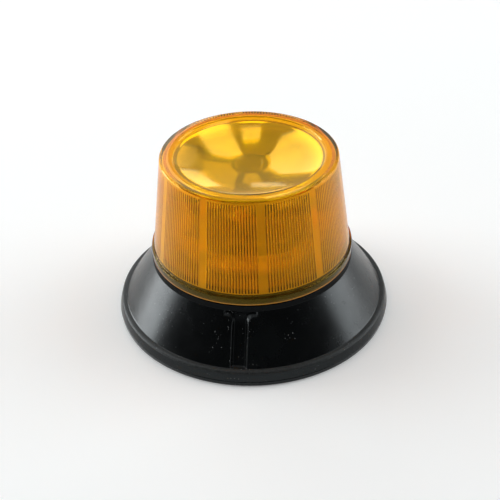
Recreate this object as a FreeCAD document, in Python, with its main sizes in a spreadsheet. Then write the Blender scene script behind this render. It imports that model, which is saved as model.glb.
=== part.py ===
"""Rotating warning beacon with a magnetic base and a rubber boot, in millimetres.

+Z is up and the origin is the centre of the boot's rim, on the surface that the beacon stands on.
The cable channel in the boot faces -Y and the cable inlet faces +Y.
"""

import FreeCAD, Part

import math
import os
import re

import Sketcher

from FreeCAD import Placement, Rotation, Vector

# Name, value and meaning of every driving size. Lengths are millimetres and angles are degrees.
SIZES = [
    ("rim_radius", 91.0, "outer radius of the boot's rim"),
    ("rim_height", 9.8, "height of the rim's outer face"),
    ("rim_taper", 1.9, "how far the rim's top edge is set in"),
    ("rim_depth", 12.0, "radial thickness of the rim"),
    ("ledge_width", 3.0, "flat ledge between the rim's top edge and the cone"),
    ("rim_crown", 2.0, "rounding of the rim's top edge"),
    ("boot_wall", 5.0, "thickness of the boot's cone"),
    ("boot_lip", 1.3, "thickness of the lip around the housing's flange"),
    ("boot_neck", 4.2, "upright neck of the boot above its cone"),
    ("rim_round", 0.8, "rounding of the boot's other edges"),
    ("web_thickness", 3.0, "rubber web clamped under the housing"),
    ("channel_width", 9.6, "width of the cable channel"),
    ("channel_depth", 3.0, "depth of the cable channel"),
    ("neck_width", 21.0, "width of the recess above the channel"),
    ("neck_height", 2.6, "height of the recess above the channel"),
    ("neck_depth", 2.2, "depth of the recess above the channel"),
    ("magnet_gap", 0.3, "magnet face above the standing surface"),
    ("cup_height", 5.7, "height of the magnet's steel cup"),
    ("cup_radius", 45.0, "outer radius of the steel cup"),
    ("cup_wall", 1.6, "sheet of the steel cup"),
    ("pole_radius", 13.0, "centre pole of the cup"),
    ("magnet_recess", 0.3, "magnet face above the cup's edge"),
    ("magnet_clearance", 0.4, "room round the ring magnet"),
    ("fixing_radius", 3.0, "shank of the screw that holds the magnet"),
    ("fixing_head_radius", 5.6, "head of the screw that holds the magnet"),
    ("fixing_head_height", 3.0, "countersunk head of that screw"),
    ("fixing_nut_width", 10.0, "nut across its flats"),
    ("fixing_nut_height", 5.0, "nut of the magnet's screw"),
    ("floor_thickness", 3.0, "housing floor"),
    ("spigot_radius", 29.0, "housing boss that passes through the boot's web"),
    ("housing_radius", 60.0, "outer radius of the housing"),
    ("housing_wall", 2.5, "wall of the housing"),
    ("housing_flange_width", 4.6, "flange that carries the lens seal, beyond the housing"),
    ("housing_flange_thickness", 1.8, "flange that carries the lens seal"),
    ("pillar_radius", 4.2, "pillars under the chassis plate"),
    ("pillar_height", 24.0, "pillars under the chassis plate"),
    ("pillar_inset", 5.0, "axis of the pillars inside the chassis plate's edge"),
    ("pillar_count", 3, "pillars under the chassis plate"),
    ("collar_inset", 0.8, "bayonet collar inside the housing's outer face"),
    ("collar_wall", 2.4, "wall of the bayonet collar"),
    ("collar_height", 7.2, "bayonet collar above the housing's flange"),
    ("rim_gap", 4.4, "housing flange above the chassis plate"),
    ("lug_count", 3, "bayonet lugs"),
    ("lug_angle", 16.0, "angular width of a bayonet lug"),
    ("lug_height", 2.2, "height of a bayonet lug"),
    ("lug_gap", 0.4, "running clearance round the bayonet lugs"),
    ("bayonet_gap", 2.2, "lens bore outside the bayonet collar"),
    ("seal_thickness", 1.6, "lens seal"),
    ("seal_gap", 0.2, "lens above its seal"),
    ("shoulder_width", 1.5, "flat step from the lens flange to the lens wall"),
    ("lens_flange_height", 5.2, "height of the lens flange"),
    ("lens_taper", 8.2, "how far the lens wall leans in over its height"),
    ("lens_height", 69.5, "whole height of the lens"),
    ("lens_wall", 3.0, "lens wall at the crests of the flutes"),
    ("lens_round", 1.6, "rounding of the lens top"),
    ("ring_width", 7.7, "flat ring round the dish"),
    ("dish_step", 0.9, "step from the ring into the dish"),
    ("dish_depth", 6.0, "depth of the dish below its edge"),
    ("dish_curve", 300.0, "radius of the dish's outline"),
    ("dish_flat", 11.0, "radius of the flat centre of the dish"),
    ("top_thickness", 2.6, "thickness of the lens top"),
    ("flute_depth", 0.8, "depth of the flutes inside the lens"),
    ("flute_count", 18, "flutes in one panel"),
    ("panel_count", 10, "fluted panels round the lens"),
    ("strip_angle", 4.7, "plain strip between two panels"),
    ("strip_turn", 283.1, "direction of one plain strip"),
    ("flute_inset", 0.8, "plain height above and below the flutes"),
    ("shield_thickness", 0.8, "polished heat shield under the dish"),
    ("shield_gap", 0.2, "heat shield below the lens"),
    ("stake_radius", 1.3, "moulded pins that carry the heat shield"),
    ("stake_circle", 38.0, "distance of those pins from the axis"),
    ("stake_length", 3.4, "length of those pins with their roots"),
    ("stake_count", 3, "pins that carry the heat shield"),
    ("washer_radius", 3.4, "push-on washers on the pins"),
    ("washer_thickness", 0.5, "push-on washers on the pins"),
    ("chassis_thickness", 1.5, "steel chassis plate"),
    ("chassis_gap", 2.5, "room between the chassis plate and the housing wall"),
    ("fit", 0.1, "clearance of a screw or a pin in its hole"),
    ("screw_radius", 1.75, "chassis screws"),
    ("screw_head_radius", 3.4, "heads of the chassis screws"),
    ("screw_head_height", 1.9, "heads of the chassis screws"),
    ("screw_length", 10.0, "chassis screws below the head"),
    ("spindle_radius", 8.0, "hollow spindle that the gear turns on"),
    ("spindle_bore", 5.5, "hollow spindle"),
    ("spindle_flange_radius", 13.0, "foot of the spindle"),
    ("spindle_flange_thickness", 1.5, "foot of the spindle"),
    ("spindle_length", 15.5, "whole height of the spindle"),
    ("rivet_radius", 1.2, "rivets through the spindle's foot"),
    ("running_gap", 0.05, "radial clearance of the bush on the spindle"),
    ("end_play", 0.2, "axial clearance of the gear"),
    ("thrust_thickness", 0.6, "thrust washer under the gear"),
    ("bush_wall", 1.6, "bush in the gear's hub"),
    ("hub_wall", 3.2, "hub of the gear round the bush"),
    ("hub_height", 6.0, "hub of the gear"),
    ("clip_thickness", 0.8, "retaining clip above the gear"),
    ("clip_reach", 2.6, "retaining clip outside its groove"),
    ("groove_depth", 0.7, "groove for the retaining clip"),
    ("gear_module", 0.7, "module of the gear pair"),
    ("gear_teeth", 96, "teeth of the drive gear"),
    ("pinion_teeth", 12, "teeth of the motor's pinion"),
    ("gear_thickness", 4.0, "face width of the drive gear"),
    ("gear_web", 1.8, "web of the drive gear"),
    ("gear_rim", 3.0, "rim of the drive gear under its teeth"),
    ("window_count", 6, "round windows in the gear's web"),
    ("window_radius", 3.4, "round windows in the gear's web"),
    ("backlash", 0.12, "play between the teeth"),
    ("pressure_angle", 20.0, "pressure angle of the teeth"),
    ("pillar_turn", 20.0, "direction of one pillar from the axis"),
    ("motor_turn", 200.0, "direction of the motor from the axis"),
    ("motor_radius", 12.5, "motor can"),
    ("motor_length", 21.5, "motor with its end cap"),
    ("motor_cap_length", 4.0, "moulded end cap of the motor"),
    ("motor_boss_radius", 3.2, "front bearing boss of the motor"),
    ("motor_boss_height", 2.4, "front bearing boss of the motor"),
    ("shaft_radius", 1.0, "motor shaft"),
    ("shaft_play", 0.05, "motor shaft in its bearing"),
    ("tag_width", 2.4, "motor tags"),
    ("tag_reach", 3.0, "motor tags outside the end cap"),
    ("tag_sheet", 0.5, "thickness of the motor tags"),
    ("tag_spread", 45.0, "angle between the motor tags"),
    ("motor_screw_radius", 1.25, "motor screws"),
    ("motor_screw_circle", 8.0, "motor screws from the motor's axis"),
    ("motor_screw_head", 1.4, "height of the motor screws' heads"),
    ("motor_screw_head_radius", 2.1, "heads of the motor screws"),
    ("focus_length", 13.0, "focal length of the reflector"),
    ("focus_height", 33.7, "focus above the gear's underside"),
    ("reflector_radius", 40.0, "half width of the reflector's mouth"),
    ("reflector_half_height", 23.0, "half height of the reflector"),
    ("reflector_wall", 1.4, "wall of the reflector"),
    ("reflector_turn", -35.0, "turn of the reflector at rest"),
    ("foot_thickness", 2.0, "foot of the reflector"),
    ("foot_radius", 20.0, "foot of the reflector"),
    ("gusset_thickness", 2.0, "gussets behind the reflector"),
    ("gusset_spacing", 26.0, "distance between the gussets"),
    ("gusset_back", 14.4, "gussets behind the axis at the foot"),
    ("gusset_front", 10.0, "gussets in front of the axis at the foot"),
    ("gusset_top", 6.9, "tops of the gussets above the focus"),
    ("lamp_window", 11.5, "radius of the lamp hole in the reflector"),
    ("foot_screw_radius", 1.5, "reflector screws"),
    ("foot_screw_circle", 16.4, "reflector screws from the axis"),
    ("foot_screw_count", 2, "reflector screws"),
    ("foot_screw_head", 2.7, "heads of the reflector screws"),
    ("foot_screw_length", 5.4, "reflector screws below the head"),
    ("holder_height", 5.0, "lamp holder above the spindle"),
    ("holder_wall", 1.4, "lamp holder round the spindle"),
    ("holder_skirt", 4.0, "lamp holder below the spindle's end"),
    ("lamp_flange_radius", 7.2, "metal collar of the lamp"),
    ("lamp_flange_thickness", 1.5, "metal collar of the lamp"),
    ("lamp_neck_radius", 5.0, "lamp base inside the holder"),
    ("lamp_neck_length", 4.6, "lamp base inside the holder"),
    ("glass_radius", 5.7, "lamp glass"),
    ("glass_wall", 0.9, "lamp glass"),
    ("glass_length", 27.0, "lamp glass"),
    ("filament_radius", 0.9, "lamp filament"),
    ("filament_length", 5.4, "lamp filament"),
    ("filament_wire", 0.25, "lamp filament wire"),
    ("inlet_height", 24.0, "cable inlet above the standing surface"),
    ("inlet_bore", 3.0, "radius of the cable inlet's bore"),
    ("inlet_wall", 2.2, "wall of the cable inlet's sleeve"),
    ("inlet_nose", 5.0, "sleeve outside the boot"),
    ("inlet_collar", 1.8, "collars of the sleeve at the housing wall"),
    ("block_width", 22.0, "terminal block"),
    ("block_depth", 11.0, "terminal block"),
    ("block_height", 10.0, "terminal block"),
    ("block_inset", 23.5, "terminal block inside the housing wall"),
    ("terminal_radius", 1.5, "screws of the terminal block"),
    ("terminal_sink", 1.5, "tops of those screws below the block's top"),
    ("way_count", 4, "ways of the terminal block"),
    ("choke_radius", 4.0, "suppression choke"),
    ("choke_length", 18.0, "suppression choke"),
    ("choke_place", 28.0, "suppression choke from the axis"),
    ("lead_radius", 0.9, "insulated leads"),
    ("lead_spread", 2.25, "distance between the lamp's two leads"),
]

doc = FreeCAD.newDocument("beacon")
sheet = doc.addObject("Spreadsheet::Sheet", "Sizes")
for row, (alias, size, meaning) in enumerate(SIZES, start=1):
    sheet.set(f"A{row}", meaning)
    sheet.set(f"B{row}", str(size))
    sheet.setAlias(f"B{row}", alias)
doc.recompute()
ALIASES = {alias for alias, _, _ in SIZES}

# Levels, each an expression of the sizes above.
WEB_BOTTOM = "(magnet_gap + cup_height)"
FLOOR_BOTTOM = f"({WEB_BOTTOM} + web_thickness)"
FLOOR_TOP = f"({FLOOR_BOTTOM} + floor_thickness)"
CHASSIS_BOTTOM = f"({FLOOR_TOP} + pillar_height)"
CHASSIS_TOP = f"({CHASSIS_BOTTOM} + chassis_thickness)"
HOUSING_TOP = f"({CHASSIS_TOP} + rim_gap)"
SEAL_TOP = f"({HOUSING_TOP} + seal_thickness)"
SEAT = f"({SEAL_TOP} + seal_gap)"
SHOULDER = f"({SEAT} + lens_flange_height)"
LENS_TOP = f"({SEAT} + lens_height)"
DISH_EDGE = f"({LENS_TOP} - dish_step)"
DISH_FLOOR = f"({DISH_EDGE} - dish_depth)"
THRUST_BOTTOM = f"({CHASSIS_TOP} + spindle_flange_thickness)"
GEAR_BOTTOM = f"({THRUST_BOTTOM} + thrust_thickness + end_play)"
GEAR_TOP = f"({GEAR_BOTTOM} + gear_thickness)"
HUB_TOP = f"({GEAR_BOTTOM} + hub_height)"
CLIP_BOTTOM = f"({HUB_TOP} + end_play)"
SPINDLE_TOP = f"({CHASSIS_TOP} + spindle_length)"
HOLDER_TOP = f"({SPINDLE_TOP} + holder_height)"
LAMP_TOP = f"({HOLDER_TOP} + lamp_flange_thickness)"
FOCUS = f"({GEAR_BOTTOM} + focus_height)"

# Radii and distances that several pieces share.
HOUSING_BORE = "(housing_radius - housing_wall)"
HOUSING_FLANGE = "(housing_radius + housing_flange_width)"
COLLAR = "(housing_radius - collar_inset)"
CHASSIS = f"({HOUSING_BORE} - chassis_gap)"
PILLARS = f"({CHASSIS} - pillar_inset)"
BLOCK_PLACE = f"({HOUSING_BORE} - block_inset)"
FOOT = "(rim_radius - rim_taper - ledge_width)"
LIP = f"({HOUSING_FLANGE} + fit + boot_lip)"
LENS_BORE = f"({COLLAR} + bayonet_gap)"
LENS_BASE = f"({LENS_BORE} + lens_wall)"
LENS_FLANGE = f"({LENS_BASE} + shoulder_width)"
LENS_CROWN = f"({LENS_BASE} - lens_taper)"
DISH_RIM = f"({LENS_CROWN} - ring_width)"
BUSH = "(spindle_radius + running_gap)"
HUB_BORE = f"({BUSH} + bush_wall)"
HUB = f"({HUB_BORE} + hub_wall)"
CENTRES = "(gear_module * (gear_teeth + pinion_teeth) / 2)"


def bound(expression):
    """The expression with each size written as a cell of the sheet."""
    return re.sub(r"[a-z_]+", lambda m: f"Sizes.{m[0]}" if m[0] in ALIASES else m[0], expression)


def number(expression):
    """The value of an expression of the sizes."""
    return float(sheet.evalExpression(expression))



def origin_feature(body, role):
    return next(f for f in body.Origin.OriginFeatures if f.Role == role)


def outline(body, name, corners, plane="XZ_Plane", level="0"):
    """A closed sketch, fully constrained, whose corners are pairs of expressions.

    A third item is the radius of an arc from that corner to the next, negative where it turns clockwise.
    """
    sketch = body.newObject("Sketcher::SketchObject", name)
    sketch.AttachmentSupport = [(origin_feature(body, plane), "")]
    sketch.MapMode = "FlatFace"
    if level != "0":
        sketch.setExpression("AttachmentOffset.Base.z", bound(level))
    places = [Vector(number(c[0]), number(c[1]), 0) for c in corners]
    first, last, rounds = [], [], []
    for here, corner in enumerate(corners):
        start, end = places[here], places[(here + 1) % len(corners)]
        if len(corner) == 2:
            sketch.addGeometry(Part.LineSegment(start, end), False)
            first.append(1)
            last.append(2)
            continue
        radius = number(corner[2])
        chord = end - start
        left = Vector(-chord.y, chord.x, 0).normalize()
        rise = math.sqrt(radius**2 - chord.Length**2 / 4) * math.copysign(1, radius)
        centre = (start + end) / 2 + left * rise
        if radius < 0:
            start, end = end, start
        angles = [math.atan2(p.y - centre.y, p.x - centre.x) for p in (start, end)]
        if angles[1] < angles[0]:
            angles[1] += 2 * math.pi
        circle = Part.Circle(centre, Vector(0, 0, 1), abs(radius))
        sketch.addGeometry(Part.ArcOfCircle(circle, *angles), False)
        first.append(1 if radius > 0 else 2)
        last.append(2 if radius > 0 else 1)
        rounds.append((here, corner[2] if radius > 0 else f"-({corner[2]})"))
    constraints, expressions = [], []
    for here in range(len(corners)):
        following = (here + 1) % len(corners)
        constraints.append(Sketcher.Constraint("Coincident", here, last[here], following, first[following]))
        expressions.append(None)
    for here, corner in enumerate(corners):
        for kind, axis, expression in (("DistanceX", -2, corner[0]), ("DistanceY", -1, corner[1])):
            if abs(number(expression)) < 1e-9:
                constraints.append(Sketcher.Constraint("PointOnObject", here, first[here], axis))
                expressions.append(None)
            else:
                size = number(expression)
                constraints.append(Sketcher.Constraint(kind, -1, 1, here, first[here], size))
                expressions.append(bound(expression))
    for here, expression in rounds:
        constraints.append(Sketcher.Constraint("Radius", here, number(expression)))
        expressions.append(bound(expression))
    sketch.addConstraint(constraints)
    for index, expression in enumerate(expressions):
        if expression:
            sketch.setExpression(f"Constraints[{index}]", expression)
    sketch.Visibility = False
    return sketch


def new_body(name):
    body = doc.addObject("PartDesign::Body", name)
    body.Label = name
    return body


def spin(body, name, corners):
    """Turns an outline about Z, as a Revolution of the body."""
    sketch = outline(body, f"{name}_outline", corners)
    turned = body.newObject("PartDesign::Revolution", name)
    turned.Profile = sketch
    turned.ReferenceAxis = (sketch, ["V_Axis"])
    turned.Angle = 360
    doc.recompute()
    return turned


def turned(name, corners):
    """A body that is one Revolution."""
    body = new_body(name)
    spin(body, f"{name}_turned", corners)
    return body



def raise_pad(body, name, corners, level, height):
    """A Pad up from a level, from an outline in plan."""
    pad = body.newObject("PartDesign::Pad", name)
    pad.Profile = outline(body, f"{name}_outline", corners, "XY_Plane", level)
    pad.setExpression("Length", bound(height))
    doc.recompute()
    return pad


def circle_sketch(body, name, centre, radius, plane="XY_Plane", level="0"):
    """One circle, its centre and radius given as expressions."""
    sketch = body.newObject("Sketcher::SketchObject", name)
    sketch.AttachmentSupport = [(origin_feature(body, plane), "")]
    sketch.MapMode = "FlatFace"
    if level != "0":
        sketch.setExpression("AttachmentOffset.Base.z", bound(level))
    place = Vector(number(centre[0]), number(centre[1]), 0)
    sketch.addGeometry(Part.Circle(place, Vector(0, 0, 1), number(radius)), False)
    index = sketch.addConstraint(Sketcher.Constraint("Radius", 0, number(radius)))
    sketch.setExpression(f"Constraints[{index}]", bound(radius))
    for kind, axis, expression in (("DistanceX", -2, centre[0]), ("DistanceY", -1, centre[1])):
        if abs(number(expression)) < 1e-9:
            sketch.addConstraint(Sketcher.Constraint("PointOnObject", 0, 3, axis))
        else:
            index = sketch.addConstraint(Sketcher.Constraint(kind, -1, 1, 0, 3, number(expression)))
            sketch.setExpression(f"Constraints[{index}]", bound(expression))
    return sketch


def drill(body, name, centre, radius, level, depth):
    """A round Pocket down from a level."""
    pocket = body.newObject("PartDesign::Pocket", name)
    pocket.Profile = circle_sketch(body, f"{name}_circle", centre, radius, "XY_Plane", level)
    pocket.setExpression("Length", bound(depth))
    doc.recompute()
    return pocket


def boss(body, name, centre, radius, level, height):
    """A round Pad up from a level."""
    pad = body.newObject("PartDesign::Pad", name)
    pad.Profile = circle_sketch(body, f"{name}_circle", centre, radius, "XY_Plane", level)
    pad.setExpression("Length", bound(height))
    doc.recompute()
    return pad


def repeat(body, name, features, count):
    """Repeats features round Z."""
    pattern = body.newObject("PartDesign::PolarPattern", name)
    pattern.Originals = features
    pattern.Axis = (origin_feature(body, "Z_Axis"), [""])
    pattern.Angle = 360
    pattern.setExpression("Occurrences", bound(count))
    body.Tip = pattern
    doc.recompute()
    return pattern


def ring_edges(feature, places):
    """Names of the circular edges of a feature at the given radius and height."""
    names = []
    for index, edge in enumerate(feature.Shape.Edges, start=1):
        if not isinstance(edge.Curve, Part.Circle) or abs(edge.Curve.Axis.z) < 0.999:
            continue
        centre = edge.Curve.Center
        if math.hypot(centre.x, centre.y) > 1e-4:
            continue
        for radius, height in places:
            off = max(abs(edge.Curve.Radius - number(radius)), abs(centre.z - number(height)))
            if off < 1e-3:
                names.append(f"Edge{index}")
    return names


def fillet(body, name, feature, edges, radius):
    rounding = body.newObject("PartDesign::Fillet", name)
    rounding.Base = (feature, edges)
    rounding.setExpression("Radius", bound(radius))
    doc.recompute()
    return rounding


def feature(name, shape, placement=None):
    """A sub-part whose shape is worked out with Part's own functions."""
    made = doc.addObject("Part::Feature", name)
    made.Label = name
    made.Shape = shape
    if placement:
        made.Placement = placement
    return made


def polar(radius, angle):
    """A pair of expressions for a point in plan, from an expression of its radius and one of its angle."""
    return (f"{radius} * cos({angle})", f"{radius} * sin({angle})")


def around(shapes, count, turn=0.0):
    """Copies of solids, evenly spaced round Z."""
    copies = []
    for index in range(int(count)):
        for shape in shapes:
            copy = shape.copy()
            copy.rotate(Vector(0, 0, 0), Vector(0, 0, 1), turn + 360.0 * index / count)
            copies.append(copy)
    return copies


def rod(radius, bottom, top, x=0.0, y=0.0):
    return Part.makeCylinder(radius, top - bottom, Vector(x, y, bottom))



# ---------------------------------------------------------------- lens and what it carries

def flute_corners(crest, bore):
    """Plan of one fluted panel: a zigzag from crest to valley, closed by a chord inside the lens."""
    pitch = "((360 / panel_count - strip_angle) / flute_count)"
    start = "(strip_turn + strip_angle / 2)"
    corners = []
    for index in range(2 * int(number("flute_count")) + 1):
        radius = crest if index % 2 == 0 else f"({crest} + flute_depth)"
        corners.append(polar(radius, f"({start} + {index} * {pitch} / 2)"))
    corners.append(polar(bore, f"(strip_turn + 360 / panel_count - strip_angle / 2)"))
    corners.append(polar(bore, start))
    return corners


def wall_radius(level):
    """Outer radius of the lens wall at a level."""
    slope = "(lens_taper / (lens_height - lens_flange_height))"
    return f"({LENS_BASE} - ({level} - {SHOULDER}) * {slope})"


def build_lens():
    body = new_body("lens")
    ceiling = f"({LENS_TOP} - top_thickness)"
    shell = spin(body, "lens_shell", [
        (LENS_BORE, SEAT),
        (LENS_FLANGE, SEAT),
        (LENS_FLANGE, SHOULDER),
        (LENS_BASE, SHOULDER),
        (LENS_CROWN, LENS_TOP),
        (DISH_RIM, LENS_TOP),
        (f"({DISH_RIM} - dish_step / 2)", DISH_EDGE, "-dish_curve"),
        ("dish_flat", DISH_FLOOR),
        ("0", DISH_FLOOR),
        ("0", f"({DISH_FLOOR} - top_thickness)"),
        ("dish_flat", f"({DISH_FLOOR} - top_thickness)", "dish_curve + top_thickness"),
        (f"({DISH_RIM} - dish_step / 2)", f"({DISH_EDGE} - top_thickness)"),
        (f"({wall_radius(ceiling)} - lens_wall)", ceiling),
        (LENS_BORE, SHOULDER),
    ])
    crown = ring_edges(shell, [(LENS_CROWN, LENS_TOP)])
    rounded = fillet(body, "top_round", shell, crown, "lens_round")
    edges = [(LENS_FLANGE, SEAT), (LENS_FLANGE, SHOULDER), (DISH_RIM, LENS_TOP)]
    fillet(body, "small_rounds", rounded, ring_edges(rounded, edges), "dish_step / 2.2")
    low, high = f"({SHOULDER} + flute_inset)", f"({ceiling} - flute_inset)"
    plans = []
    for name, level in (("flutes_low", low), ("flutes_high", high)):
        crest = f"({wall_radius(level)} - lens_wall + flute_depth / 6)"
        inside = f"({wall_radius(level)} - lens_wall - flute_depth)"
        plans.append(outline(body, name, flute_corners(crest, inside), "XY_Plane", level))
    flutes = body.newObject("PartDesign::SubtractiveLoft", "flutes")
    flutes.Profile = plans[0]
    flutes.Sections = [plans[1]]
    flutes.Ruled = True
    doc.recompute()
    repeat(body, "panels", [flutes], "panel_count")
    half = "(lug_angle / 2)"
    inner, outer = f"(({COLLAR} + lug_gap) / cos({half}))", f"({LENS_BORE} + lens_wall / 3)"
    lug = raise_pad(body, "lug", [
        polar(inner, f"(0 - {half})"), polar(outer, f"(0 - {half})"), polar(outer, half), polar(inner, half),
    ], f"({SEAT} + lug_gap)", "lug_height")
    repeat(body, "lugs", [lug], "lug_count")
    root = f"({DISH_EDGE} - top_thickness - dish_depth / 6)"
    place, end = ("stake_circle", "0"), f"({root} - stake_length)"
    stake = boss(body, "stake", place, "stake_radius", end, "stake_length")
    repeat(body, "stakes", [stake], "stake_count")


def build_heat_shield():
    """A pressed dish under the dish of the lens, with a hole for each moulded pin."""
    body = new_body("heat_shield")
    rim = f"({DISH_RIM} - dish_step / 2)"
    top = "top_thickness - shield_gap"
    under = "top_thickness - shield_gap - shield_thickness"
    curve = "dish_curve + top_thickness + shield_gap"
    spin(body, "pressed_dish", [
        ("0", f"({DISH_FLOOR} - {under})"),
        ("dish_flat", f"({DISH_FLOOR} - {under})", f"{curve} + shield_thickness"),
        (rim, f"({DISH_EDGE} - {under})"),
        (rim, f"({DISH_EDGE} - {top})", f"-({curve})"),
        ("dish_flat", f"({DISH_FLOOR} - {top})"),
        ("0", f"({DISH_FLOOR} - {top})"),
    ])
    depth = "(dish_depth + 2 * top_thickness)"
    hole = drill(body, "stake_hole", ("stake_circle", "0"), "(stake_radius + fit)", DISH_EDGE, depth)
    repeat(body, "stake_holes", [hole], "stake_count")



def dish_underside(radius):
    """Height of the heat shield's underside at a radius."""
    sag = number("dish_curve + top_thickness + shield_gap + shield_thickness")
    rim = number(f"({DISH_RIM} - dish_step / 2)")
    flat, depth = number("dish_flat"), number("dish_depth")
    chord = Vector(rim - flat, depth, 0)
    middle = Vector((rim + flat) / 2, depth / 2, 0)
    left = Vector(-chord.y, chord.x, 0).normalize()
    centre = middle + left * math.sqrt(sag**2 - chord.Length**2 / 4)
    drop = centre.y - math.sqrt(sag**2 - (radius - centre.x)**2)
    return number(f"({DISH_FLOOR} - top_thickness - shield_gap - shield_thickness)") + drop


def build_stake_washers():
    """Push-on washers that hold the heat shield on the lens's pins."""
    outer, inner = number("washer_radius"), number("stake_radius")
    height, circle = number("washer_thickness"), number("stake_circle")
    top = dish_underside(circle - outer) - number("fit")
    washer = rod(outer, top - height, top, circle).cut(rod(inner, top - height, top, circle))
    feature("shield_washers", Part.makeCompound(around([washer], number("stake_count"))))


# ---------------------------------------------------------------- boot, housing and magnet

LIP_TOP = f"({SEAL_TOP} - fit)"
NECK = f"({LIP_TOP} - boot_neck)"
SLOPE = f"(({FOOT} - {LIP}) / ({NECK} - rim_height))"
FLANGE_UNDER = f"({HOUSING_TOP} - housing_flange_thickness)"


def cone_radius(level):
    """Outer radius of the boot's cone at a level."""
    return f"({FOOT} - ({level} - rim_height) * {SLOPE})"


def cone_inside(level):
    return f"({cone_radius(level)} - boot_wall * sqrt(1 + {SLOPE}^2))"


def build_rubber_boot():
    body = new_body("rubber_boot")
    clasp = f"({NECK} - boot_wall)"
    cone = spin(body, "boot_shell", [
        ("(rim_radius - rim_depth)", "0"),
        ("rim_radius", "0"),
        ("(rim_radius - rim_taper)", "rim_height"),
        (FOOT, "rim_height"),
        (LIP, NECK),
        (LIP, LIP_TOP),
        (f"({LIP} - boot_lip)", LIP_TOP),
        (f"({LIP} - boot_lip)", f"({FLANGE_UNDER} - fit)"),
        ("(housing_radius + fit)", f"({FLANGE_UNDER} - fit)"),
        ("(housing_radius + fit)", clasp),
        (cone_inside(clasp), clasp),
        (cone_inside(FLOOR_BOTTOM), FLOOR_BOTTOM),
        ("(spigot_radius + fit)", FLOOR_BOTTOM),
        ("(spigot_radius + fit)", WEB_BOTTOM),
        (cone_inside(FLOOR_BOTTOM), WEB_BOTTOM),
    ])
    crown = ring_edges(cone, [("(rim_radius - rim_taper)", "rim_height")])
    crowned = fillet(body, "rim_crown", cone, crown, "rim_crown")
    edges = [("rim_radius", "0"), (FOOT, "rim_height"), (LIP, NECK)]
    fillet(body, "soft_edges", crowned, ring_edges(crowned, edges), "rim_round")
    deep = f"({cone_radius('rim_height')} - channel_depth)"
    high = f"({cone_radius(NECK)} - channel_depth)"
    side = outline(body, "channel_side", [
        (f"(0 - {deep})", "rim_height"),
        (f"(0 - {high})", NECK),
        (f"(0 - {high} - 2 * rim_depth)", NECK),
        (f"(0 - {deep} - 2 * rim_depth)", "rim_height"),
    ], "YZ_Plane")
    channel = body.newObject("PartDesign::Pocket", "channel")
    channel.Profile = side
    channel.SideType = "Symmetric"
    channel.setExpression("Length", bound("channel_width"))
    doc.recompute()
    top = f"({cone_radius(NECK)} - neck_depth)"
    recess = body.newObject("PartDesign::Pocket", "channel_head")
    recess.Profile = outline(body, "head_side", [
        (f"(0 - {top})", f"({NECK} - neck_height)"),
        (f"(0 - {top})", NECK),
        (f"(0 - {top} - rim_depth)", NECK),
        (f"(0 - {top} - rim_depth)", f"({NECK} - neck_height)"),
    ], "YZ_Plane")
    recess.SideType = "Symmetric"
    recess.setExpression("Length", bound("neck_width"))
    doc.recompute()
    bore = body.newObject("PartDesign::Pocket", "inlet_hole")
    place = ("0", "inlet_height")
    bore.Profile = circle_sketch(body, "inlet_hole_circle", place, "(inlet_bore + inlet_wall)", "XZ_Plane")
    bore.setExpression("Length", bound("rim_radius"))
    doc.recompute()


def build_base_housing():
    body = new_body("base_housing")
    collar_inside = f"({COLLAR} - collar_wall)"
    spin(body, "housing_shell", [
        ("(fixing_radius + fit)", WEB_BOTTOM),
        ("spigot_radius", WEB_BOTTOM),
        ("spigot_radius", FLOOR_BOTTOM),
        ("housing_radius", FLOOR_BOTTOM),
        ("housing_radius", FLANGE_UNDER),
        (HOUSING_FLANGE, FLANGE_UNDER),
        (HOUSING_FLANGE, HOUSING_TOP),
        (COLLAR, HOUSING_TOP),
        (COLLAR, f"({HOUSING_TOP} + collar_height)"),
        (collar_inside, f"({HOUSING_TOP} + collar_height)"),
        (collar_inside, FLANGE_UNDER),
        (HOUSING_BORE, f"({FLANGE_UNDER} - collar_wall)"),
        (HOUSING_BORE, FLOOR_TOP),
        ("(fixing_radius + fit)", FLOOR_TOP),
    ])
    pillar_place = polar(PILLARS, "pillar_turn")
    root = f"({FLOOR_TOP} - fit)"
    pillar = boss(body, "pillar", pillar_place, "pillar_radius", root, "(pillar_height + fit)")
    pilot = drill(body, "pilot", pillar_place, "(screw_radius + fit)", CHASSIS_BOTTOM, "(screw_length + 1)")
    repeat(body, "pillars", [pillar, pilot], "pillar_count")
    half = "(lug_angle / 2)"
    inner, outer = f"({COLLAR} - collar_wall / 2)", f"({LENS_BORE} - lug_gap)"
    low = f"({SEAT} + 2 * lug_gap + lug_height)"
    lug = raise_pad(body, "collar_lug", [
        polar(inner, f"(0 - {half})"), polar(outer, f"(0 - {half})"), polar(outer, half), polar(inner, half),
    ], low, f"({HOUSING_TOP} + collar_height - {low})")
    start, end = f"(0 - {half} - 2 * lug_gap)", f"(0 - {half} - 2 * lug_gap - lug_angle / 5)"
    stop = raise_pad(body, "lock_stop", [
        polar(inner, end), polar(outer, end), polar(outer, start), polar(inner, start),
    ], f"({SEAT} + lug_gap)", f"({HOUSING_TOP} + collar_height - {SEAT} - lug_gap)")
    repeat(body, "bayonet", [lug, stop], "lug_count")
    hole = body.newObject("PartDesign::Pocket", "inlet_hole")
    circle = ("0", "inlet_height")
    hole.Profile = circle_sketch(body, "inlet_hole_circle", circle, "(inlet_bore + inlet_wall)", "XZ_Plane")
    hole.setExpression("Length", bound("rim_radius"))
    doc.recompute()


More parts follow.
